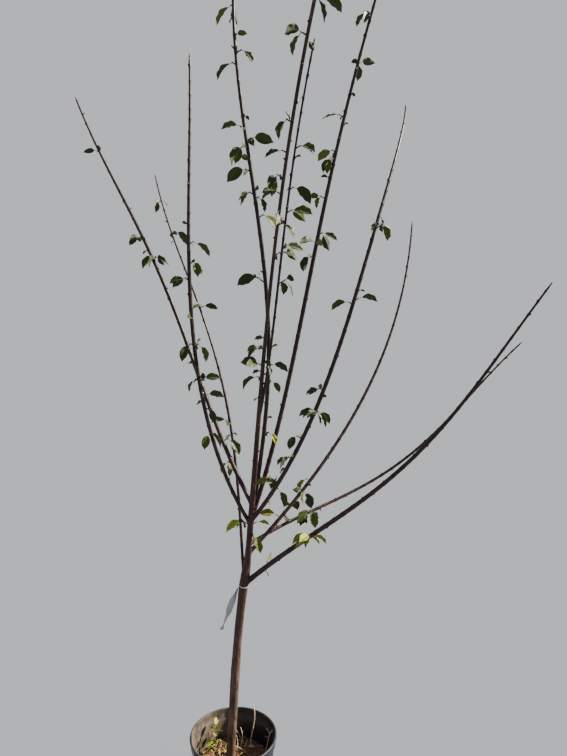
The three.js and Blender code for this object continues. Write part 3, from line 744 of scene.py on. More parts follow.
def add_relief(mesh):
    """Pushes the bark in and out along its normals: broad lumps, and ridges that run up the stem."""
    points, normals = np.zeros((2, len(mesh.vertices), 3))
    mesh.vertices.foreach_get("co", points.ravel())
    mesh.vertex_normals.foreach_get("vector", normals.ravel())
    lumps = noise_at(points * RELIEF.lump_scale)
    ridges = noise_at(points * RELIEF.ridge_scale * (1, 1, RELIEF.stretch))
    pushes = lumps * RELIEF.lump + (0.5 - np.abs(ridges)) * RELIEF.ridge
    pushes *= lerp(1, RELIEF.least, smoothstep(points[:, 2], RELIEF.fade_low, RELIEF.fade_high))
    mesh.vertices.foreach_set("co", (points + normals * pushes[:, None]).ravel())
    mesh.update()


WHIP_MESH = Facts(spacing=5, sides=12, bark=0.3)
BUD = Facts(spacing=(32, 50), turn=144, waver=(-15, 15), first=30, spur_room=9, tip_room=6, sides=6,
            length=7.0, length_share=(0.75, 1.15), width=2.3, sunk=0.2, lean=0.16, bow=2.2,
            node=0.7, node_reach=5, end_sides=8, turns_from=(0.3, 1, 0.1))
# A bud's girth at shares of its length.
BUD_GIRTH = ((0, 0.55), (0.12, 0.95), (0.35, 1), (0.6, 0.75), (0.82, 0.4), (1, 0.06))
# The bud at a whip's end, how far its foot is sunk in and its girth as a share of the tip's.
TIP_BUD = Facts(length=11, sunk=4, share=0.85)
# Bare short shoots stand at some of the buds, and small leaves at others in the leafy stretches.
SHOOT = Facts(share=0.1, length=(4, 9), radius=(2.1, 1.6), lean=(35, 65), sunk=1, bud=(4.2, 1.6))
SMALL = Facts(share=0.42, reach=70, room=6)
SMALL_LEAF = dict(LEAF, length=(14, 30), petiole=(2, 6), first_rise=(45, -30), droop=(15, 50))
# Leaves that sit at the foot of a leafy spur, close to its stem.
BASE = Facts(counts=(1, 1, 2), room=4, spread=(60, 130), out=1)
BASE_LEAF = dict(SMALL_LEAF, length=(20, 36))
SPUR_MESH = Facts(sides=9, spacing=1.6, ring=0.14, ring_turn=2.6, bud=(4.6, 1.9))
# A hooked dead twig under the lowest whip on the right, from a place along it.
HOOK_LINE = dict(heading=(-20, 10), rise=(-38, -62, -80), length=30, steps=12)
HOOK = Facts(distance=96, radius=1.4, spacing=2, sides=8)


def bud_places(stem, random):
    """Distances and turns of the buds along a stem, away from its collar and its spurs."""
    places = []
    distance = max(stem.collar, BUD.first)
    turn = random() * 360
    while distance < stem.length - BUD.tip_room:
        if all(abs(distance - spur[0]) > BUD.spur_room for spur in stem.spurs):
            places.append((distance, turn))
        distance += random.between(*BUD.spacing)
        turn += BUD.turn + random.between(*BUD.waver)
    return places


def outward(stem, distance, turn):
    """A direction square to a stem, at a turn round it, and the stem's own direction there."""
    along = stem.path.tangent(distance)
    first = unit(np.cross(along, BUD.turns_from))
    return turned(first, along, radians(turn)), along


def add_bud(mesh, root, along, length, width, sides=BUD.end_sides, out=0):
    """A pointed bud, straight on at an end, or bowed outward close along its stem."""
    shares, girth = np.array(BUD_GIRTH).T
    bow = np.sin(shares * BUD.bow) * length * BUD.lean
    add_tube(mesh, root + np.outer(shares * length, along) + np.outer(bow, out), girth * width, sides)


def ringed(radius, length, distances):
    """Radii of a short shoot with the rings that each year's bud left on it."""
    taper = lerp(*radius, np.maximum(0, distances) / length)
    return taper * (1 + SPUR_MESH.ring * np.sin(distances * SPUR_MESH.ring_turn))


def add_shoot(mesh, root, out, along, random):
    """A bare short shoot, ringed by old scars, with a bud at its end."""
    way = unit(along + out * tan(radians(random.between(*SHOOT.lean))))
    length = random.between(*SHOOT.length)
    distances = even_distances(-SHOOT.sunk, length, SPUR_MESH.spacing)
    radii = ringed(SHOOT.radius, length, distances)
    add_tube(mesh, root + np.outer(distances, way), radii, SPUR_MESH.sides)
    add_bud(mesh, root + way * (length - SHOOT.sunk), way, *SHOOT.bud)


small_leaves = []


def add_small_leaf(random, start, heading, habit, room):
    """Draws a leaf that the solids don't have, and keeps it if it finds room among the others."""
    leaf = draw_leaf(random, start, heading, habit)
    if leaf_settles(leaf, None, room):
        small_leaves.append(leaf)


def add_base_leaves():
    """One or two lesser leaves at the foot of each leafy spur."""
    random = SeededRandom(SEED * 5)
    for spur in SPURS:
        heading = heading_of(spur.path.points[-1] - spur.path.points[0])
        start = spur.path.at(spur.stem.radius_at(spur.distance) + BASE.out)
        side = 1 if random() < 0.5 else -1
        for _ in range(random.choice(BASE.counts)):
            spread = side * random.between(*BASE.spread)
            add_small_leaf(random, start, heading + spread, BASE_LEAF, BASE.room)
            side = -side


def add_buds(mesh, stem, places, random):
    """A stem's buds and bare short shoots, with small leaves at some, and the bud at its tip."""
    for distance, turn in places:
        out, along = outward(stem, distance, turn)
        root = stem.path.at(distance) + out * (stem.radius_at(distance) - BUD.sunk)
        if random() < SHOOT.share:
            add_shoot(mesh, root, out, along, random)
        else:
            length = BUD.length * random.between(*BUD.length_share)
            add_bud(mesh, root, along, length, BUD.width, BUD.sides, out)
        to_spur = min(abs(distance - spur[0]) for spur in stem.spurs)
        if random() < SMALL.share and to_spur <= SMALL.reach:
            add_small_leaf(random, root, heading_of(out), SMALL_LEAF, SMALL.room)
    along = stem.path.tangent(stem.length - 1)
    root = stem.path.at(stem.length) - along * TIP_BUD.sunk
    add_bud(mesh, root, along, TIP_BUD.length, stem.radii[2] * TIP_BUD.share)


def make_whips_and_buds():
    """Every whip from its root to its tip, with a slight swelling at each node, and the buds."""
    whips, buds = Mesh(), Mesh()
    for index, stem in enumerate(STEMS[1:]):
        random = SeededRandom(SEED * 3 + index)
        places = bud_places(stem, random)
        add_buds(buds, stem, places, random)
        if stem is LEADER:
            continue
        distances = even_distances(0, stem.length - 1, WHIP_MESH.spacing)
        radii = stem.radius_at(distances) + WHIP_MESH.bark
        for place, _ in places:
            radii = radii + BUD.node * np.exp(-((distances - place) / BUD.node_reach) ** 2)
        add_tube(whips, stem.path.at(distances), radii, WHIP_MESH.sides)
    hook = StemPath(WHIPS[0].path.at(HOOK.distance), **HOOK_LINE)
    add_tube(whips, hook.at(even_distances(0, hook.length, HOOK.spacing)), HOOK.radius, HOOK.sides)
    boughs = [f"bough_{whip.name}" for whip in WHIPS]
    ends = [f"foliage_{whip.name}" for whip in WHIPS if whip.bough < whip.length]
    whips.finish("whips", [WHIP_BARK], "whip_bark", *boughs, *ends)
    buds.finish("buds", [WHIP_BARK], "whip_bark")


def make_spurs():
    """The short leafy shoots, ringed by old scars, each with a bud at its end."""
    mesh = Mesh()
    for spur in SPURS:
        distances = even_distances(0, spur.length, SPUR_MESH.spacing)
        radii = ringed(SPUR.radius, spur.length, distances)
        add_tube(mesh, spur.path.at(distances), radii, SPUR_MESH.sides)
        along = spur.path.tangent(spur.length)
        add_bud(mesh, spur.path.at(spur.length) - along, along, *SPUR_MESH.bud)
    mesh.finish("spur_shoots", [WHIP_BARK], "whip_bark", *sorted({spur.owner for spur in SPURS}))


LEAF_MESH = Facts(
    rows=45, columns=np.array((-1, -0.74, -0.47, -0.2, -0.045, 0.045, 0.2, 0.47, 0.74, 1)),
    line_steps=40, thickness=0.45, narrow=0.92, tip_from=0.7, tip_pinch=0.5, tooth_out=0.03, tooth_in=0.045,
    tooth_edge=6, tooth_forward=0.4, veins=7, vein_lean=0.24, vein_power=0.6, vein_rise=4, quilt=0.75,
    wave=1.4, waves=2.6, extra_fold=0.3, rib_half=0.1, groove=0.3, groove_end=0.9, midrib=0.55,
    midrib_end=0.2)
PETIOLE = Facts(sides=6, radius=(1.0, 0.62), spacing=1.5, into_blade=3)
STALK_TINTS = ((0.13, 0.1, 0.035), (0.1, 0.045, 0.03))
# Leaf colours: how often a spray takes each, near the fork and near the top, then the two tints of
# its upper face and that of its lower face. The shift with height is partly painted light: more of the
# darkest leaves near the top as painted shade, and more yellow ones near the fork, partly real autumn
# colour and partly painted sunlight.
LEAF_TINTS = {
    "deep": ((0.17, 0.5), (0.011, 0.022, 0.003), (0.025, 0.033, 0.004), (0.022, 0.034, 0.006)),
    "green": ((0.28, 0.34), (0.023, 0.046, 0.004), (0.045, 0.064, 0.006), (0.031, 0.049, 0.008)),
    "olive": ((0.27, 0.16), (0.06, 0.075, 0.006), (0.1, 0.09, 0.009), (0.055, 0.07, 0.01)),
    "yellow": ((0.28, 0.0), (0.16, 0.2, 0.006), (0.25, 0.25, 0.014), (0.14, 0.17, 0.014)),
}
# Heights between which the leaf colours shift, darker upward as painted shade.
TINT_HEIGHTS = (950, 1450)
# How many leaves take a colour of their own.
OWN_TINT = 0.35


def blade_grid(leaf, random, serrate):
    """Middle surface of a blade as rows of points, with the direction out of it at each row."""
    form = LEAF_MESH
    line = leaf_line(leaf, form.line_steps)
    t = np.linspace(0, 1, form.rows)[:, None]
    side, apart = form.columns, np.abs(form.columns)
    phase = random() * 2 * pi
    outer = apart ** form.tooth_edge * serrate
    on_tooth = (np.arange(form.rows) % 2 == 0)[:, None]
    tooth = np.where(on_tooth, form.tooth_out, -form.tooth_in) * outer
    forward = form.tooth_forward * leaf.length / form.rows * outer * on_tooth * (t > 0) * (t < 1)
    across, outs = np.array([
        blade_frame(leaf, line, leaf.petiole + leaf.length * share) for share in t[:, 0]]).swapaxes(0, 1)
    pinch = 1 - form.tip_pinch * smoothstep(t, form.tip_from, 1)
    half = leaf.width * form.narrow / 2 * blade_shape(t) * side * (1 + tooth) * pinch
    vein = np.abs(np.sin(pi * form.veins * (t - form.vein_lean * apart)))
    lift = (form.quilt * vein ** form.vein_power * (1 - apart) * np.minimum(1, apart * form.vein_rise)
            + form.wave * side ** 2 * np.sin(2 * pi * form.waves * t + phase * side)
            - form.groove * (apart < form.rib_half) * (t < form.groove_end))
    fold = leaf.fold + form.extra_fold * (0.5 + 0.5 * sin(phase))
    up = np.abs(half) * sin(fold) + lift * blade_shape(t)
    middles = line.at(leaf.petiole + leaf.length * t + forward)
    middles = middles + across[:, None] * (half * cos(fold))[..., None]
    return middles + outs[:, None] * up[..., None], outs


def add_blade(mesh, leaf, random, serrate=True):
    """A thin closed blade: its upper face is kind 0, its lower face and rim kind 1, its midrib kind 2."""
    middles, outs = blade_grid(leaf, random, serrate)
    rows, columns = middles.shape[:2]
    rib = (np.abs(LEAF_MESH.columns) < LEAF_MESH.rib_half)[:, None]
    depth = np.linspace(1, LEAF_MESH.midrib_end, rows)[:, None, None] * LEAF_MESH.midrib * rib
    half = LEAF_MESH.thickness / 2
    beside = columns // 2 - 1
    upper_row, lower_row = ([face] * beside + [2] + [face] * beside for face in (0, 1))
    add_sheet(mesh, middles + outs[:, None] * half, middles - outs[:, None] * (half + depth),
              upper_row * (rows - 1) + lower_row * (rows - 1))


def add_petiole(mesh, leaf):
    line = leaf_line(leaf, LEAF_MESH.line_steps)
    length = leaf.petiole + PETIOLE.into_blade
    distances = even_distances(0, length, PETIOLE.spacing)
    add_tube(mesh, line.at(distances), lerp(*PETIOLE.radius, distances / length), PETIOLE.sides)


def spray_tint(height, random):
    """The colour that a spray of leaves takes, by weights that change with height: darker high up as painted
    shade, and yellower low down partly as painted sunlight.
    """
    share = smoothstep(height, *TINT_HEIGHTS)
    return list(LEAF_TINTS)[random.weighted([lerp(*row[0], share) for row in LEAF_TINTS.values()])]


def make_leaves():
    blades = {name: Mesh() for name in LEAF_TINTS}
    owners = {name: set() for name in LEAF_TINTS}
    petioles = Mesh()
    random = SeededRandom(SEED * 7)
    for spur in SPURS:
        tint = spray_tint(spur.path.points[0][2], random)
        for leaf in spur.leaves:
            own = spray_tint(leaf.start[2], random) if random() < OWN_TINT else tint
            add_blade(blades[own], leaf, random)
            add_petiole(petioles, leaf)
            owners[own].add(spur.owner)
    for leaf in small_leaves:
        add_blade(blades[spray_tint(leaf.start[2], random)], leaf, random)
        add_petiole(petioles, leaf)
    for name, (_, *tints) in LEAF_TINTS.items():
        blades[name].finish(f"leaves_{name}", leaf_faces(name, *tints), "leaf", *sorted(owners[name]))
    petioles.finish("petioles", [leaf_material("leaf_petiole", *STALK_TINTS, 0.5)], "leaf")


SHELL = Facts(
    segments=240, flat_rows=14, wall_rows=26, outer_rows=57, rim_round=2.2, inner_round=1, chamfer=1,
    crease=4, lip_chamfer=0.6, rim_chamfer=0.8, inner_drop=12, flutes=60, flute=0.5, flute_foot=(0.02, 0.1),
    flute_top=(0.9, 0.98), flute_top_inside=(0.93, 0.99), drill_sides=28)
# Dust outside and inside: where it starts and is thickest, how thick, and what the right side keeps. Less
# dust on the right side leaves it darker, as painted shade.
DUST = {"outside": (0.4, 0.95, 0.22, 0.7), "inside": (0.3, 0.66, 0.85, 0.0)}


def wall_rows(shares, inset, low, fade):
    """Rows of the tapering wall, whose fluting fades out at its foot and its top."""
    fluted = smoothstep(shares, *SHELL.flute_foot) * (1 - smoothstep(shares, *fade))
    heights = lerp(low, POT.height - POT.collar_depth, shares)
    return list(zip(lerp(POT.foot, POT.step, shares) - inset, heights, fluted))


def arc(radius, height, size, start, end, count):
    """Rows round a part of a small circle, whose centre is at a radius and a height."""
    turns = np.linspace(start, end, count)
    return [(radius + size * cos(turn), height + size * sin(turn), 0) for turn in turns]


def pot_profile():
    """Radius, height and share of fluting, under the base, up the outside and down the inside."""
    form, top, collar, bevel = SHELL, POT.height, POT.collar, POT.bevel
    slope, lip, inner = top - POT.collar_depth + POT.collar_slope, top - POT.lip, collar - POT.wall
    shares = np.linspace(0, 1, form.wall_rows)
    under = np.linspace(0, POT.foot - bevel, form.flat_rows)
    floor = np.linspace(POT.foot - POT.wall - bevel, 0, form.flat_rows)
    return [
        *[(radius, 0, 0) for radius in under],
        *arc(POT.foot - bevel, bevel, bevel, -pi / 2, 0, 5)[1:],
        *wall_rows(shares[1:], 0, bevel, form.flute_top),
        (collar - form.chamfer, slope - form.chamfer, 0), (collar, slope, 0),
        (collar, lip - form.crease, 0), (collar, lip - form.lip_chamfer, 0),
        (collar + form.lip_chamfer, lip, 0), (POT.rim - form.rim_chamfer, lip, 0),
        (POT.rim, lip + form.rim_chamfer, 0),
        *arc(POT.rim - form.rim_round, top - form.rim_round, form.rim_round, 0, pi / 2, 7),
        *arc(inner + form.inner_round, top - form.inner_round, form.inner_round, pi / 2, pi, 6),
        (inner, top - form.inner_drop, 0), (inner, slope, 0),
        *wall_rows(shares[::-1], POT.wall, POT.base + bevel, form.flute_top_inside),
        *[(radius, POT.base, 0) for radius in floor],
    ]


def make_pot():
    """The nursery pot: rounded rim, collar, shallow flutes down its wall, and drain holes."""
    first, *profile, last = pot_profile()
    angles = circle(SHELL.segments)
    waves = np.cos(angles * SHELL.flutes) ** 3 - 1
    points = []
    for radius, height, fluted in profile:
        reach = radius + SHELL.flute * fluted * waves
        points += zip(reach * np.cos(angles), reach * np.sin(angles), np.full(len(angles), height))
    points += [(0, 0, first[1]), (0, 0, last[1])]
    mesh = Mesh()
    kinds = [0] * (SHELL.outer_rows * SHELL.segments) + [1]
    mesh.add(points, capped_faces(len(profile), SHELL.segments), kinds)
    piece = mesh.make("pot_shell", [pot_plastic(f"pot_{side}", *dust) for side, dust in DUST.items()])
    drills = Mesh()
    for i in range(POT.holes):
        x, y = around(POT.hole_ring, (i + 0.5) / POT.holes * 2 * pi)
        centres = [(x, y, height) for height in (-2 * POT.base, 0, 2 * POT.base)]
        add_tube(drills, centres, POT.hole_radius, SHELL.drill_sides)
    drill = drills.make("drills", [])
    modified(piece, BOOLEAN=dict(operation="DIFFERENCE", solver="EXACT", object=drill))
    bpy.data.objects.remove(drill)
    finish_piece(piece, "pot_plastic", "pot")


BED = Facts(rings=46, segments=150, rough=2.2, rough_scale=0.09, rough_level=2.0, fine=0.8, fine_scale=0.35,
            fine_level=7.0, wall_from=155, wall_rows=6)


def mix_height_at(x, y):
    """Height of the low mound of the mix, as its solid has it."""
    radius = hypot(x, y)
    broad = sin(x * LUMPS.across_x + LUMPS.phase) * cos(y * LUMPS.across_y)
    lump = (broad + sin((x + 2 * y) * LUMPS.slant) * LUMPS.slant_share) * LUMPS.height
    return MIX.level - along_table(MIX_SURFACE, radius) + lump * float(smoothstep(radius, MIX.flat, MIX.seat))


def bed_height(x, y):
    """Height of the loose surface of the mix, with its crumbs."""
    rough = noise.noise((x * BED.rough_scale, y * BED.rough_scale, BED.rough_level)) * BED.rough
    fine = noise.noise((x * BED.fine_scale, y * BED.fine_scale, BED.fine_level)) * BED.fine
    return mix_height_at(x, y) + rough + fine


def wall_radius_at(height):
    return lerp(POT.foot, POT.step, height / (POT.height - POT.collar_depth)) - POT.wall


def from_trunk(x, y):
    return hypot(x - TRUNK_X, y)


def make_mix_bed():
    """The body of the mix, as a closed plug whose upper face is crumbly."""
    floor = POT.base + CLEARANCE
    edge = wall_radius_at(MIX.level - MIX.edge_drop) - MIX.wall_gap
    angles = circle(BED.segments)
    points = []
    for radius in np.linspace(0, edge, BED.rings + 1)[1:]:
        ring = [around(radius, angle) for angle in angles]
        points += [(x, y, bed_height(x, y)) for x, y in ring]
    for height in np.linspace(BED.wall_from, floor, BED.wall_rows):
        inner = wall_radius_at(max(height, 2 * POT.base)) - MIX.wall_gap
        points += [(*around(inner, angle), height) for angle in angles]
    points += [(0, 0, bed_height(0, 0)), (0, 0, floor)]
    mesh = Mesh()
    mesh.add(points, flipped(capped_faces(BED.rings + BED.wall_rows, BED.segments)))
    soil = loose_matter("potting_soil", (0.028, 0.017, 0.011), (0.075, 0.045, 0.028), 130)
    mesh.finish("mix_bed", [soil], "potting_mix", "potting_mix")


LITTER = Facts(edge=4, trunk_room=21)
CHIPS = Facts(count=620, size=(3, 11), width_share=(0.35, 0.8), depth_share=(0.12, 0.32),
              corner_share=(0.55, 1.1), tilt=34, above=0.6, lift=(-0.4, 1.2), cloud=180)
# Chip colours: how often a chip takes each, and the two that it is clouded between.
CHIP_KINDS = {
    "chips_dark": (0.4, (0.03, 0.018, 0.012), (0.07, 0.04, 0.026)),
    "chips_brown": (0.38, (0.08, 0.042, 0.025), (0.15, 0.082, 0.05)),
    "chips_tan": (0.22, (0.2, 0.125, 0.078), (0.3, 0.2, 0.135)),
}
CHIP_CORNERS = np.array([(x, y, z) for z in (-1, 1) for x, y in ((-1, -1), (1, -1), (1, 1), (-1, 1))])
CHIP_FACES = ((0, 3, 2, 1), (4, 5, 6, 7), (0, 1, 5, 4), (1, 2, 6, 5), (2, 3, 7, 6), (3, 0, 4, 7))


def litter_place(random, spread=1.0):
    """A place on the mix, clear of the trunk and the pot's wall."""
    reach = wall_radius_at(MIX.level - MIX.edge_drop) - LITTER.edge
    while True:
        radius = reach * sqrt(random()) * spread
        x, y = around(radius, random() * 2 * pi)
        if from_trunk(x, y) > LITTER.trunk_room:
            return x, y


def random_turn(random, tilt):
    """Three square directions: a heading at random, tipped by up to tilt degrees each way."""
    along = direction(random() * 360, random.between(-tilt, tilt))
    across = unit(np.cross((0, 0, 1), along))
    across = turned(across, along, radians(random.between(-tilt, tilt)))
    return np.array([along, across, np.cross(along, across)])


def make_chips():
    """Bark chips in three colours, strewn and tipped over the mix."""
    random = SeededRandom(SEED * 13)
    heaps = [Mesh() for _ in CHIP_KINDS]
    for _ in range(CHIPS.count):
        heap = heaps[random.weighted([weight for weight, *_ in CHIP_KINDS.values()])]
        x, y = litter_place(random)
        size = random.between(*CHIPS.size)
        shares = (1, random.between(*CHIPS.width_share), random.between(*CHIPS.depth_share))
        half = size * np.array(shares) / 2
        worn = [[random.between(*CHIPS.corner_share) for _ in range(3)] for _ in CHIP_CORNERS]
        axes = random_turn(random, CHIPS.tilt)
        height = bed_height(x, y) + half[2] * CHIPS.above + random.between(*CHIPS.lift)
        heap.add((x, y, height) + CHIP_CORNERS * half * worn @ axes, CHIP_FACES)
    for heap, (name, (_, *colors)) in zip(heaps, CHIP_KINDS.items()):
        heap.finish(name, [loose_matter(name, *colors, CHIPS.cloud)], "potting_mix", smooth=False)


NEEDLES = Facts(count=150, length=(55, 95), spread=0.96, bow=(-25, 25), points=9, wall_room=5, lift=1.4,
                arch=2.2, trunk_room=17, radius=0.5, sides=4)


def add_needle(mesh, random):
    """A fallen pine needle that lies bowed across the mix."""
    x, y = litter_place(random, NEEDLES.spread)
    length = random.between(*NEEDLES.length)
    heading = random() * 360
    bow = random.between(*NEEDLES.bow)
    limit = wall_radius_at(MIX.level) - NEEDLES.wall_room
    centres = []
    for share in np.linspace(-0.5, 0.5, NEEDLES.points):
        place = np.array((x, y)) + direction(heading + bow * share, 0)[:2] * length * share
        place = place * min(1, limit / hypot(*place))
        height = bed_height(*place) + NEEDLES.lift + NEEDLES.arch * cos(share * pi)
        centres.append((*place, height))
    if min(from_trunk(*centre[:2]) for centre in centres) > NEEDLES.trunk_room:
        add_tube(mesh, centres, NEEDLES.radius, NEEDLES.sides)


# Dry stalks that stand in the mix: foot, heading, rise, length and radius.
STALKS = (
    ((53, 77), (0, 0), (92, 80, 112), 154, 2.3), ((24, 98), (180, 200), (70, 62, 66), 62, 1.2),
    ((16, 68), (20, 150), (60, 70, 50), 66, 1.5), ((31, 53), (0, 30), (76, 70, 80), 38, 1.3),
    ((6, 40), (70, 120), (50, 24, 12), 58, 1.2), ((40, 30), (150, 170), (34, 20, 8), 46, 1.3),
    ((105, 40), (10, 30), (80, 76, 72), 72, 1.8))
# The forks of the last stalk: share of its length, heading, rise, length and radius.
STALK_FORKS = ((0.96, (170, 190), (72, 60, 44), 22, 1.3), (1, (0, 10), (58, 50, 56), 20, 1.4),
               (0.8, (185, 175), (40, 10, -20), 14, 1.0))
STRAW = Facts(sunk=3, steps=14, fork_steps=8, spacing=3, sides=6, knot=0.12, knot_turn=0.4, thin=0.75)


def add_stalk(mesh, path, radius):
    distances = even_distances(0, path.length, STRAW.spacing)
    knots = 1 + STRAW.knot * np.sin(distances * STRAW.knot_turn)
    radii = radius * knots * lerp(1, STRAW.thin, distances / path.length)
    add_tube(mesh, path.at(distances), radii, STRAW.sides)


def make_needles_and_straw():
    random = SeededRandom(SEED * 17)
    needles, straw = Mesh(), Mesh()
    for _ in range(NEEDLES.count):
        add_needle(needles, random)
    for (x, y), *line, radius in STALKS:
        path = StemPath((x, y, bed_height(x, y) - STRAW.sunk), *line, steps=STRAW.steps)
        add_stalk(straw, path, radius)
    for share, *line, radius in STALK_FORKS:
        add_stalk(straw, StemPath(path.at(path.length * share), *line, steps=STRAW.fork_steps), radius)
    rust = loose_matter("pine_needles", (0.2, 0.1, 0.045), (0.36, 0.2, 0.09), 60, 0.6)
    pale = loose_matter("straw", (0.4, 0.32, 0.21), (0.56, 0.47, 0.33), 60, 0.6)
    needles.finish("needle_litter", [rust], "potting_mix")
    straw.finish("straw_stalks", [pale], "potting_mix")


FALLEN = Facts(
    count=15, length=(14, 27), width_share=(0.42, 0.66), petiole=1.5, lift=2.5, spread=0.88, right=30,
    to_left=0.6, rise=(-8, 34), droop=(30, 60), fold=(0.2, 0.9), roll=(-0.5, 0.5), wall_room=6, trunk_room=24)
FALLEN_TINTS = {
    "straw": ((0.26, 0.18, 0.095), (0.33, 0.25, 0.14), (0.27, 0.2, 0.12)),
    "rust": ((0.12, 0.05, 0.024), (0.18, 0.08, 0.035), (0.18, 0.11, 0.06)),
    "gold": ((0.3, 0.27, 0.025), (0.27, 0.19, 0.03), (0.24, 0.22, 0.05)),
    "green": ((0.2, 0.24, 0.012), (0.32, 0.31, 0.025), (0.2, 0.23, 0.03)),
}
# Green leaves that lie among the litter on the left: place, heading, length and width.
GREEN_SPOTS = ((-58, 95, 250, 23, 15), (-63, 63, 205, 22, 14), (-106, 46, 280, 22, 12),
               (-40, 53, 300, 24, 12), (-72, 32, 170, 18, 10))
GREEN_LIE = dict(lift=5, rise=(34, -22), fold=0.35, roll=0.3)


def lying_leaf(x, y, lift, **sizes):
    return Facts(start=np.array([x, y, bed_height(x, y) + lift]), petiole=FALLEN.petiole, **sizes)


def dry_leaves(random):
    """Small curled leaves strewn over the mix, mostly on its left."""
    limit = wall_radius_at(MIX.level) - FALLEN.wall_room
    for _ in range(FALLEN.count):
        x, y = litter_place(random, FALLEN.spread)
        if x > FALLEN.right and random() < FALLEN.to_left:
            x = -x
        rise = random.between(*FALLEN.rise)
        length = random.between(*FALLEN.length)
        leaf = lying_leaf(
            x, y, FALLEN.lift, length=length, heading=random() * 360,
            width=length * random.between(*FALLEN.width_share),
            rise=(rise, rise - random.between(*FALLEN.droop)),
            fold=random.between(*FALLEN.fold), roll=random.between(*FALLEN.roll))
        tip = leaf_line(leaf).points[-1][:2]
        if hypot(*tip) < limit and from_trunk(*tip) > FALLEN.trunk_room:
            yield leaf


def green_leaves():
    for x, y, heading, length, width in GREEN_SPOTS:
        yield lying_leaf(x, y, heading=heading, length=length, width=width, **GREEN_LIE)


def make_fallen_leaves():
    random = SeededRandom(SEED * 19)
    for name, tints in FALLEN_TINTS.items():
        mesh = Mesh()
        for leaf in green_leaves() if name == "green" else dry_leaves(random):
            add_blade(mesh, leaf, random, serrate=False)
        mesh.finish(f"fallen_{name}", leaf_faces(f"fallen_{name}", *tints), "potting_mix")


def make_sprout():
    """A seedling beside the trunk, in fresh light green."""
    random = SeededRandom(SEED + len(STEMS))
    detail = SeededRandom(SEED * 11)
    foot = (*SPROUT.foot, mix_height_at(*SPROUT.foot) + SPROUT.lift)
    path = StemPath(foot, **SPROUT_LINE)
    stem, blades = Mesh(), Mesh()
    distances = even_distances(-SPROUT.below, SPROUT_LINE["length"], SPROUT.spacing)
    centres = path.at(distances) - np.outer(np.maximum(0, -distances), (0, 0, 1))
    add_tube(stem, centres, along_three(SPROUT.radii, distances / SPROUT_LINE["length"]), SPROUT.sides)
    for distance, heading in SPROUT.leaves:
        leaf = draw_leaf(random, path.at(distance), heading, SPROUT_LEAF)
        add_blade(blades, leaf, detail, serrate=False)
        add_petiole(stem, leaf)
    faces = leaf_faces("sprout", (0.16, 0.22, 0.012), (0.27, 0.3, 0.025), (0.17, 0.22, 0.03))
    stalk = leaf_material("sprout_stem", (0.2, 0.2, 0.05), (0.16, 0.1, 0.04), 0.5)
    blades.finish("sprout_leaves", faces, "young_leaf", "sprout")
    stem.finish("sprout_stem", [stalk], "young_leaf", "sprout")


def add_strip(mesh, start):
    """The free end of the tag, which widens from its neck, cups, curls and twists."""
    share = np.linspace(0, 1, TAG_LINE["steps"])[:, None]
    centres = StemPath(start, **TAG_LINE).at(share * TAG_LINE["length"])
    sides, normals = (way[:, None] for way in carried_frames(centres[:, 0]))
    turn = np.radians(TAG.twist * share)[..., None]
    across = sides * np.cos(turn) + normals * np.sin(turn)
    through = normals * np.cos(turn) - sides * np.sin(turn)
    place = np.linspace(-1, 1, TAG.columns)
    width = lerp(TAG.neck, TAG.width, smoothstep(share, 0, TAG.neck_share))
    width = width * (1 - TAG.end_narrow * smoothstep(share, TAG.end_from, 1))
    bend = TAG.cup * (1 - place * place) + TAG.curl * place * np.sin(share * TAG.curls)
    middles = centres + across * (place * width / 2)[..., None]
    upper, lower = (middles + through * (bend + side * TAG.paper / 2)[..., None] for side in (1, -1))
    add_sheet(mesh, upper, lower)


def add_band(mesh, centre, along, inner):
    """The band of the tag round the trunk, slightly uneven in height."""
    first = unit(np.cross(along, (0, 1, 0)))
    second = np.cross(along, first)
    half, outer = TAG.band_depth / 2, inner + TAG.paper
    outline = ((inner, -half), (outer, -half), (outer + TAG.band_bulge, 0), (outer, half),
               (inner, half), (inner + TAG.band_hollow, 0))
    points = []
    for angle in circle(TAG.band_turns):
        wave = TAG.band_wave * sin(angle * 2 + 1)
        out = first * cos(angle) + second * sin(angle)
        points += [centre + out * radius + along * (height + wave) for radius, height in outline]
    faces = grid_faces(TAG.band_turns + 1, len(outline), closed=True)
    mesh.add(points, [[corner % len(points) for corner in face] for face in faces])


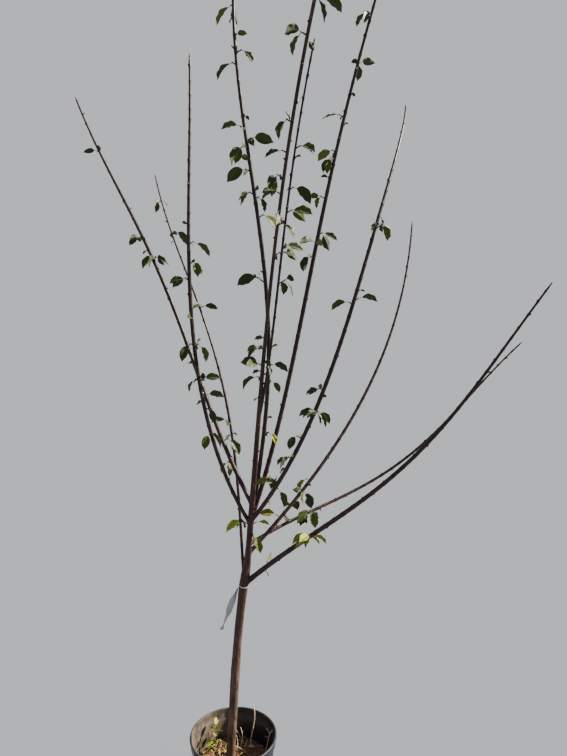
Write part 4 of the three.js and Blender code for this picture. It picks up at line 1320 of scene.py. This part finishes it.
def make_tag():
    """The blank strip tag: its twisting free end, and its band round the trunk."""
    mesh = Mesh()
    distance = TRUNK.path.distance_at_height(TAG.height)
    centre, along = TRUNK.path.at(distance), TRUNK.path.tangent(distance)
    inner = TRUNK.radius_at(distance) + TAG.loop_gap + CLEARANCE
    add_strip(mesh, centre + direction(TAG_LINE["heading"][0], 0) * (inner + TAG.thickness / 2))
    add_band(mesh, centre, along, inner)
    mesh.finish("tag_strip", [tag_paper()], "tag", "tag")


STAGE = Facts(
    radius=90, sides=96, floor=(0.153, 0.169, 0.196), surround=(0.95, 0.97, 1.0), surround_light=0.64,
    sun_heading=12, sun_rise=37, sun_light=17.5, sun_color=(1, 0.91, 0.78), sun_softness=4)


def make_stage():
    """A plain pale floor and surround, with soft light from the right and a little behind."""
    bpy.ops.mesh.primitive_circle_add(vertices=STAGE.sides, radius=STAGE.radius, fill_type="NGON")
    floor = bpy.context.object
    floor.name = "floor"
    paint = Shader("floor", Roughness=0.9, Specular_IOR_Level=0.0, Base_Color=STAGE.floor)
    floor.data.materials.append(paint.material)
    world = bpy.data.worlds.new("surround")
    bpy.context.scene.world = world
    world.use_nodes = True
    background = world.node_tree.nodes["Background"].inputs
    background["Color"].default_value = (*STAGE.surround, 1)
    background["Strength"].default_value = STAGE.surround_light
    light = bpy.data.lights.new("key", "SUN")
    light.energy = STAGE.sun_light
    light.color = STAGE.sun_color
    light.angle = radians(STAGE.sun_softness)
    towards = Vector(direction(STAGE.sun_heading, STAGE.sun_rise))
    link_object("key", light).rotation_euler = towards.to_track_quat("Z", "Y").to_euler()


def make_camera():
    data = bpy.data.cameras.new("camera")
    data.sensor_fit = "HORIZONTAL"
    data.sensor_width = CAMERA.sensor
    data.lens = CAMERA.sensor * CAMERA.focal_pixels / CAMERA.photo_width
    camera = link_object("camera", data)
    camera.location = CAMERA.place
    camera.rotation_euler = (radians(90 - CAMERA.pitch), 0, 0)
    bpy.context.scene.camera = camera


make_camera()
make_stage()
make_trunk()
make_whips_and_buds()
make_spurs()
add_base_leaves()
make_leaves()
make_pot()
make_mix_bed()
make_chips()
make_needles_and_straw()
make_fallen_leaves()
make_sprout()
make_tag()
